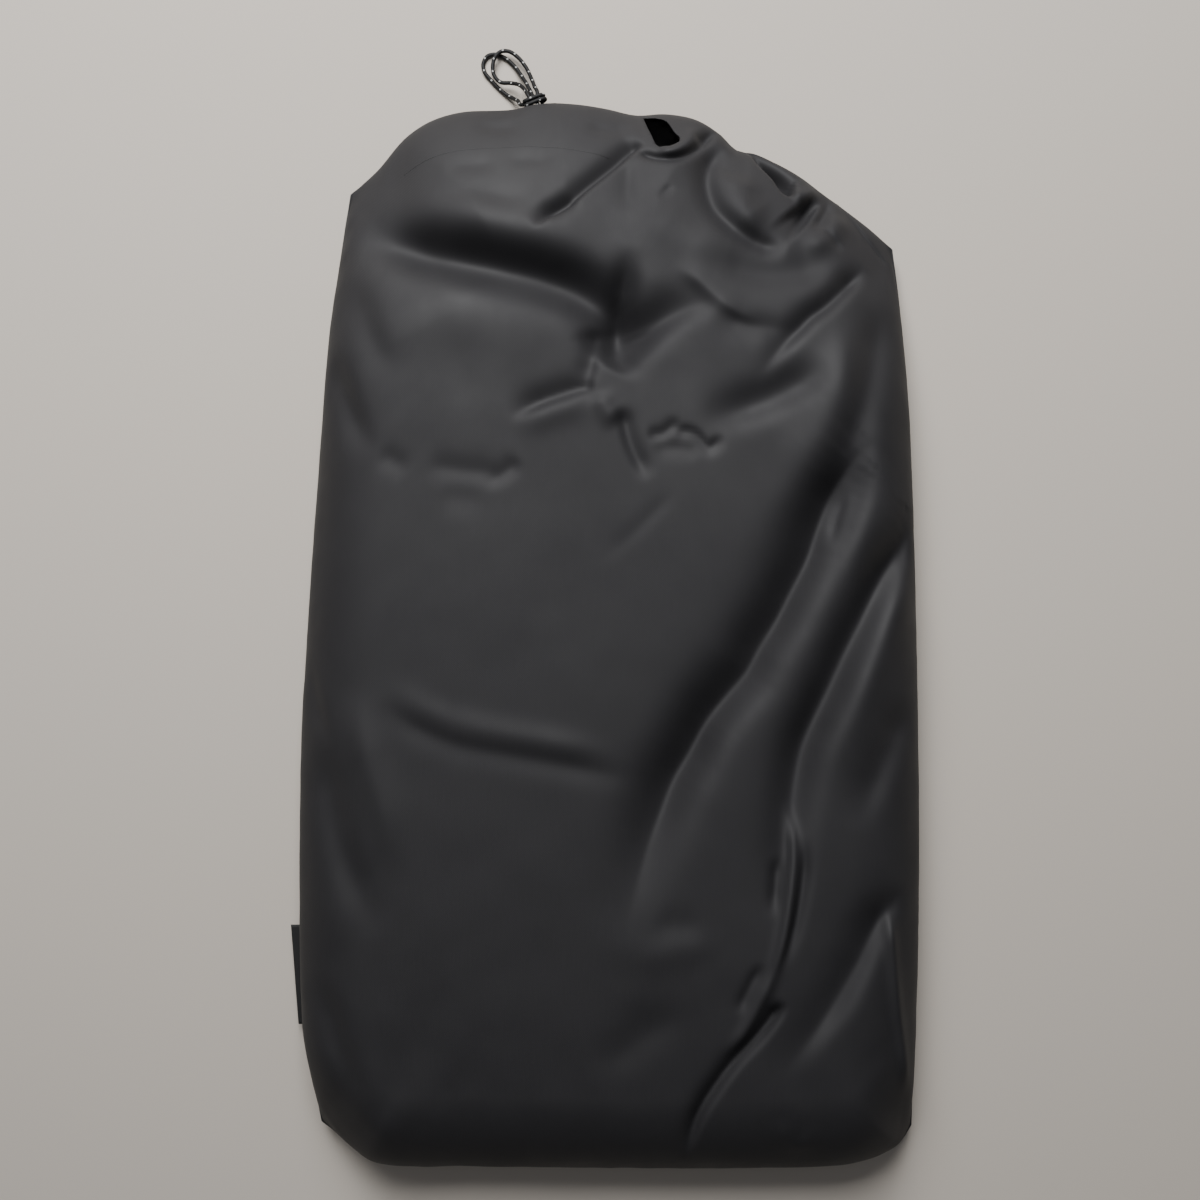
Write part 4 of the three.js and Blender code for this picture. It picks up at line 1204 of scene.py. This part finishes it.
def folded_profile(low, high, offset):
    """Middle line, in x and z, of cloth folded in three, moved sideways by offset; in millimetres."""
    first_z, radius = 6.0, 7.0
    right_x, left_x = 118.0, -97.0
    right, left = radius - offset, radius + offset
    right_z, left_z = first_z + radius, first_z + 3 * radius
    points = [(x, first_z + offset) for x in np.linspace(low, right_x, 44)[:-1]]
    for angle in np.linspace(-math.pi / 2, math.pi / 2, 17):
        points.append((right_x + right * math.cos(angle), right_z + right * math.sin(angle)))
    middle_z = right_z + right
    points += [(x, middle_z) for x in np.linspace(right_x, left_x, 44)[1:-1]]
    for angle in np.linspace(-math.pi / 2, -3 * math.pi / 2, 17):
        points.append((left_x + left * math.cos(angle), left_z + left * math.sin(angle)))
    points += [(x, left_z + left) for x in np.linspace(left_x, high, 44)[1:]]
    return np.array(points)


def walled_grid(middle, normals, half, ys, edge_round=0.6):
    """A closed sheet of thickness 2 half round a middle line in x and z, drawn out along y."""
    ring = [(m + n * half) for m, n in zip(middle, normals)]
    under = [(m - n * half) for m, n in zip(middle, normals)]
    far_way, near_way = middle[-1] - middle[-2], middle[0] - middle[1]
    end_far = middle[-1] + far_way / np.linalg.norm(far_way) * half * edge_round
    end_near = middle[0] + near_way / np.linalg.norm(near_way) * half * edge_round
    loop = ring + [end_far] + under[::-1] + [end_near]
    passed = np.concatenate([[0], np.cumsum(np.linalg.norm(np.diff(np.array(loop), axis=0), axis=1))])
    vertices, uv, faces = [], [], []
    count = len(loop)
    for y in ys:
        vertices.extend([(p[0], y, p[1]) for p in loop])
        uv.extend([(a * MM, y * MM) for a in passed])
    for j in range(len(ys) - 1):
        for i in range(count):
            a, b = j * count + i, j * count + (i + 1) % count
            faces.append((a, b, b + count, a + count))
    for j in (0, len(ys) - 1):
        base = j * count
        ring_count = len(ring)
        for i in range(ring_count - 1):
            quad = (base + i, base + i + 1, base + 2 * ring_count - i - 1, base + 2 * ring_count - i)
            faces.append(quad if j else quad[::-1])
        far = (base + ring_count - 1, base + ring_count, base + ring_count + 1)
        near = (base + count - 1, base, base + count - 2)
        faces += [far, near] if j else [far[::-1], near[::-1]]
    return np.array(vertices), faces, uv


def under_cloth(vertices, height, clearance, top):
    """The contents pressed down wherever the pouch's cloth dips into them. Millimetres."""
    pressed = vertices.copy()
    for k, (x, y, z) in enumerate(vertices):
        room = height(x * MM, y * MM, 1.0) / MM - clearance
        if room < top:
            pressed[k, 2] = 1.0 + (z - 1.0) * (room - 1.0) / (top - 1.0)
    return pressed


class POUCH_OT_contents(bpy.types.Operator):
    """The changing bag itself, folded in three, with its lining, sleeves and elastics; its zips are the
    imported model's own
    """

    bl_idname = "pouch.contents"
    bl_label = "Folded changing bag"

    def execute(self, context):
        settings = context.scene.contents
        height = surface_height(bpy.data.objects["pouch_front"])
        clearance = settings.clearance / MM
        layer = settings.layer / MM
        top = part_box("forearm_elastic_left")[1].z / MM
        for node, name, material, offset, seed in (
            ("changing_bag_outer", "changing_bag_outer_cloth", "bag_nylon", 0.0, 21),
            ("changing_bag_lining", "changing_bag_lining_cloth", "bag_lining", 5.0, 22),
        ):
            low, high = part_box(node)
            middle = folded_profile(low.x / MM + 0.6, TOP_LAYER_END, offset)
            tangent = np.gradient(middle, axis=0)
            tangent /= np.linalg.norm(tangent, axis=1)[:, None]
            normals = np.stack([-tangent[:, 1], tangent[:, 0]], axis=1)
            ys = np.linspace(low.y / MM, high.y / MM, 75)
            vertices, faces, uv = walled_grid(middle, normals, layer / 2 - 0.25, ys)
            around = np.linspace(0, 1, len(vertices) // len(ys))
            ripple = unevenness(around, np.linspace(0, 1, len(ys)), 60, 14, seed)
            vertices[:, 2] += 0.25 * ripple
            piece = new_piece(name, under_cloth(vertices, height, clearance, top) * MM, faces, uv)
            tidy_normals(piece)
            finish_piece(piece, material, "pouch", material, node)
        for side in ("left", "right"):
            self.sleeve(side, height, clearance, top)
        for place in ("wrist", "forearm"):
            for side in ("left", "right"):
                self.elastic(f"{place}_elastic_{side}", height, clearance, top)
        return {"FINISHED"}

    def sleeve(self, side, height, clearance, top):
        node = f"arm_sleeve_{side}"
        low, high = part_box(node)
        xs = np.linspace(low.x / MM, high.x / MM, 84)
        half_widths = np.interp(xs, [-102, -60, 104], [46, 62, 78])
        for middle, drawn in GATHERS:
            half_widths *= 1 - (1 - drawn) * np.exp(-(((xs - middle) / 7) ** 2))
        middle_y, middle_z = (low.y + high.y) / 2 / MM, (low.z + high.z) / 2 / MM
        half = (high.z - low.z) / 2 / MM
        count = 46
        vertices, uv = [], []
        for x, width in zip(xs, half_widths):
            gather = 0.35 * sum(math.exp(-(((x - m) / 8) ** 2)) for m, _ in GATHERS)
            for up in (1, -1):
                for k in range(count):
                    v = (2 * k / (count - 1) - 1) * up
                    bulge = (1 - abs(v) ** 6) ** 0.5
                    ripple = gather * math.sin(v * width * 0.9)
                    vertices.append((x, middle_y + v * width, middle_z + up * half * bulge * 0.8 + ripple))
                    uv.append((x * MM, v * width * MM))
        ring = 2 * count
        faces = []
        for j in range(len(xs) - 1):
            for i in range(ring):
                a, b = j * ring + i, j * ring + (i + 1) % ring
                faces.append((a, b, b + ring, a + ring))
        faces += [tuple(range(ring))[::-1], tuple(range((len(xs) - 1) * ring, len(xs) * ring))]
        pressed = under_cloth(np.array(vertices), height, clearance, top)
        piece = new_piece(f"{node}_cloth", pressed * MM, faces, uv)
        tidy_normals(piece)
        finish_piece(piece, "bag_nylon", "pouch", "bag_nylon", node)

    def elastic(self, node, height, clearance, top):
        low, high = (np.array(corner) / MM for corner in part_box(node))
        middle_y, middle_z = (low[1] + high[1]) / 2, (low[2] + high[2]) / 2
        half_y, half_z = (high[1] - low[1]) / 2, (high[2] - low[2]) / 2
        xs = np.linspace(low[0], high[0], 13)
        outline = []
        for up in (1, -1):
            outline += [(v * up, up) for v in np.linspace(-1, 1, 60)]
        vertices, uv, faces = [], [], []
        for wall in (0.0, 0.8):
            for x in xs:
                rib = 0.12 * math.cos((x - xs[0]) * 2 * math.pi / 2.5)
                for v, up in outline:
                    z = middle_z + up * (half_z - wall - 0.15 + (rib if not wall else 0)) * (1 - abs(v) ** 24)
                    vertices.append((x, middle_y + v * (half_y - wall), z))
                    uv.append((x * MM, v * half_y * MM))
        ring, rows = len(outline), len(xs)
        for wall in (0, 1):
            for j in range(rows - 1):
                for i in range(ring):
                    a = wall * rows * ring + j * ring + i
                    b = wall * rows * ring + j * ring + (i + 1) % ring
                    quad = (a, b, b + ring, a + ring)
                    faces.append(quad if not wall else quad[::-1])
        for j in (0, rows - 1):
            for i in range(ring):
                a, b = j * ring + i, j * ring + (i + 1) % ring
                quad = (a, b, b + rows * ring, a + rows * ring)
                faces.append(quad[::-1] if j == 0 else quad)
        pressed = under_cloth(np.array(vertices), height, clearance * 0.8, top)
        piece = new_piece(f"{node}_band", pressed * MM, faces, uv)
        tidy_normals(piece)
        finish_piece(piece, "elastic", "pouch", "elastic", node)


# ---- finishes and stage ----------------------------------------------------------------


class POUCH_OT_finishes(bpy.types.Operator):
    """Materials of every piece, and of the frame's own pieces that stay in view"""

    bl_idname = "pouch.finishes"
    bl_label = "Finishes"

    def execute(self, context):
        pouch = context.scene.pouch
        cord = context.scene.drawcord
        cloth_material("pouch_nylon", pouch.color, pouch.roughness, 0.00045, 0.2)
        cloth_material("bag_nylon", (0.014, 0.014, 0.015), 0.55, 0.00045, 0.15, sheen=0.1)
        cloth_material("bag_lining", (0.008, 0.008, 0.009), 0.75, 0.0006, 0.25)
        cloth_material("label_weave", (0.006, 0.006, 0.0066), 0.62, 0.0003, 0.5, sheen=0.1)
        cord_material("drawcord", cord.color, cord.fleck)
        ribbed_material("elastic", (0.014, 0.014, 0.015), 0.8, "Y", 0.0012)
        ribbed_material("binding_tape", (0.012, 0.012, 0.013), 0.75, "Y", 0.0009)
        ribbed_material("zip_tape", (0.012, 0.012, 0.013), 0.7, "Y", 0.0012)
        grained_material("zip_metal", (0.09, 0.09, 0.095), 0.38, metallic=1.0)
        grained_material("thread", (0.018, 0.018, 0.019), 0.55)
        for name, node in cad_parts.items():
            if "binding" in name:
                finish = "binding_tape"
            elif "tape" in name:
                finish = "zip_tape"
            elif "zip" in name:
                finish = "zip_metal"
            else:
                continue
            for slot in node.material_slots:
                slot.material = bpy.data.materials[finish_name(finish)]
        return {"FINISHED"}


class POUCH_OT_stage(bpy.types.Operator):
    """Floor, soft studio light and the overhead camera"""

    bl_idname = "pouch.stage"
    bl_label = "Stage"

    def execute(self, context):
        stage = context.scene.pouch_stage
        half = 3.0
        floor = new_piece("floor", [(-half, -half, 0), (half, -half, 0), (half, half, 0), (-half, half, 0)],
                          [(0, 1, 2, 3)], smooth=False)
        floor.location.z = -0.0002
        material, _, shader = start_material("floor", 0.9)
        shader.inputs["Base Color"].default_value = (0.58, 0.53, 0.47, 1)
        floor.data.materials.append(material)

        camera = bpy.data.objects.new("camera", bpy.data.cameras.new("camera"))
        camera.data.angle = stage.view_angle
        camera.location = (*VIEW_AXIS * MM, stage.view_height)
        context.scene.collection.objects.link(camera)
        context.scene.camera = camera

        for name, place, aim, size, power in (
            ("window", (-0.16, 0.88, 0.92), (0, 0.1, 0), 0.75, stage.window_power),
            ("overhead", (-0.35, 0.25, 1.7), (0, 0, 0), 1.2, stage.fill_power),
        ):
            light = bpy.data.lights.new(name, "AREA")
            light.size = size
            light.energy = power
            lamp = bpy.data.objects.new(name, light)
            lamp.location = place
            lamp.rotation_euler = (Vector(aim) - Vector(place)).to_track_quat("-Z", "Y").to_euler()
            context.scene.collection.objects.link(lamp)

        world = bpy.data.worlds.new("studio")
        world.use_nodes = True
        background = world.node_tree.nodes["Background"]
        background.inputs["Color"].default_value = (0.92, 0.94, 1, 1)
        background.inputs["Strength"].default_value = 0.1
        context.scene.world = world
        return {"FINISHED"}


class POUCH_PT_panel(bpy.types.Panel):
    """Lists the steps that build the pouch"""

    bl_label = "Pouch"
    bl_idname = "POUCH_PT_panel"
    bl_space_type = "VIEW_3D"
    bl_region_type = "UI"
    bl_category = "Pouch"

    def draw(self, context):
        for operator in OPERATORS:
            self.layout.operator(operator.bl_idname)


OPERATORS = (
    POUCH_OT_stage,
    POUCH_OT_finishes,
    POUCH_OT_drawcord,
    POUCH_OT_front,
    POUCH_OT_back,
    POUCH_OT_hems,
    POUCH_OT_stitches,
    POUCH_OT_label,
    POUCH_OT_contents,
)
SETTINGS = {
    "pouch": PouchSettings,
    "drawcord": DrawcordSettings,
    "stitches": StitchSettings,
    "contents": ContentsSettings,
    "pouch_stage": StageSettings,
}


def register():
    for kind in (*SETTINGS.values(), *OPERATORS, POUCH_PT_panel):
        bpy.utils.register_class(kind)
    for name, kind in SETTINGS.items():
        setattr(bpy.types.Scene, name, PointerProperty(type=kind))


def unregister():
    for name in SETTINGS:
        delattr(bpy.types.Scene, name)
    for kind in (POUCH_PT_panel, *OPERATORS, *SETTINGS.values()):
        bpy.utils.unregister_class(kind)


def main():
    register()
    for operator in OPERATORS:
        area, name = operator.bl_idname.split(".")
        getattr(getattr(bpy.ops, area), name)()


if __name__ == "__main__":
    main()
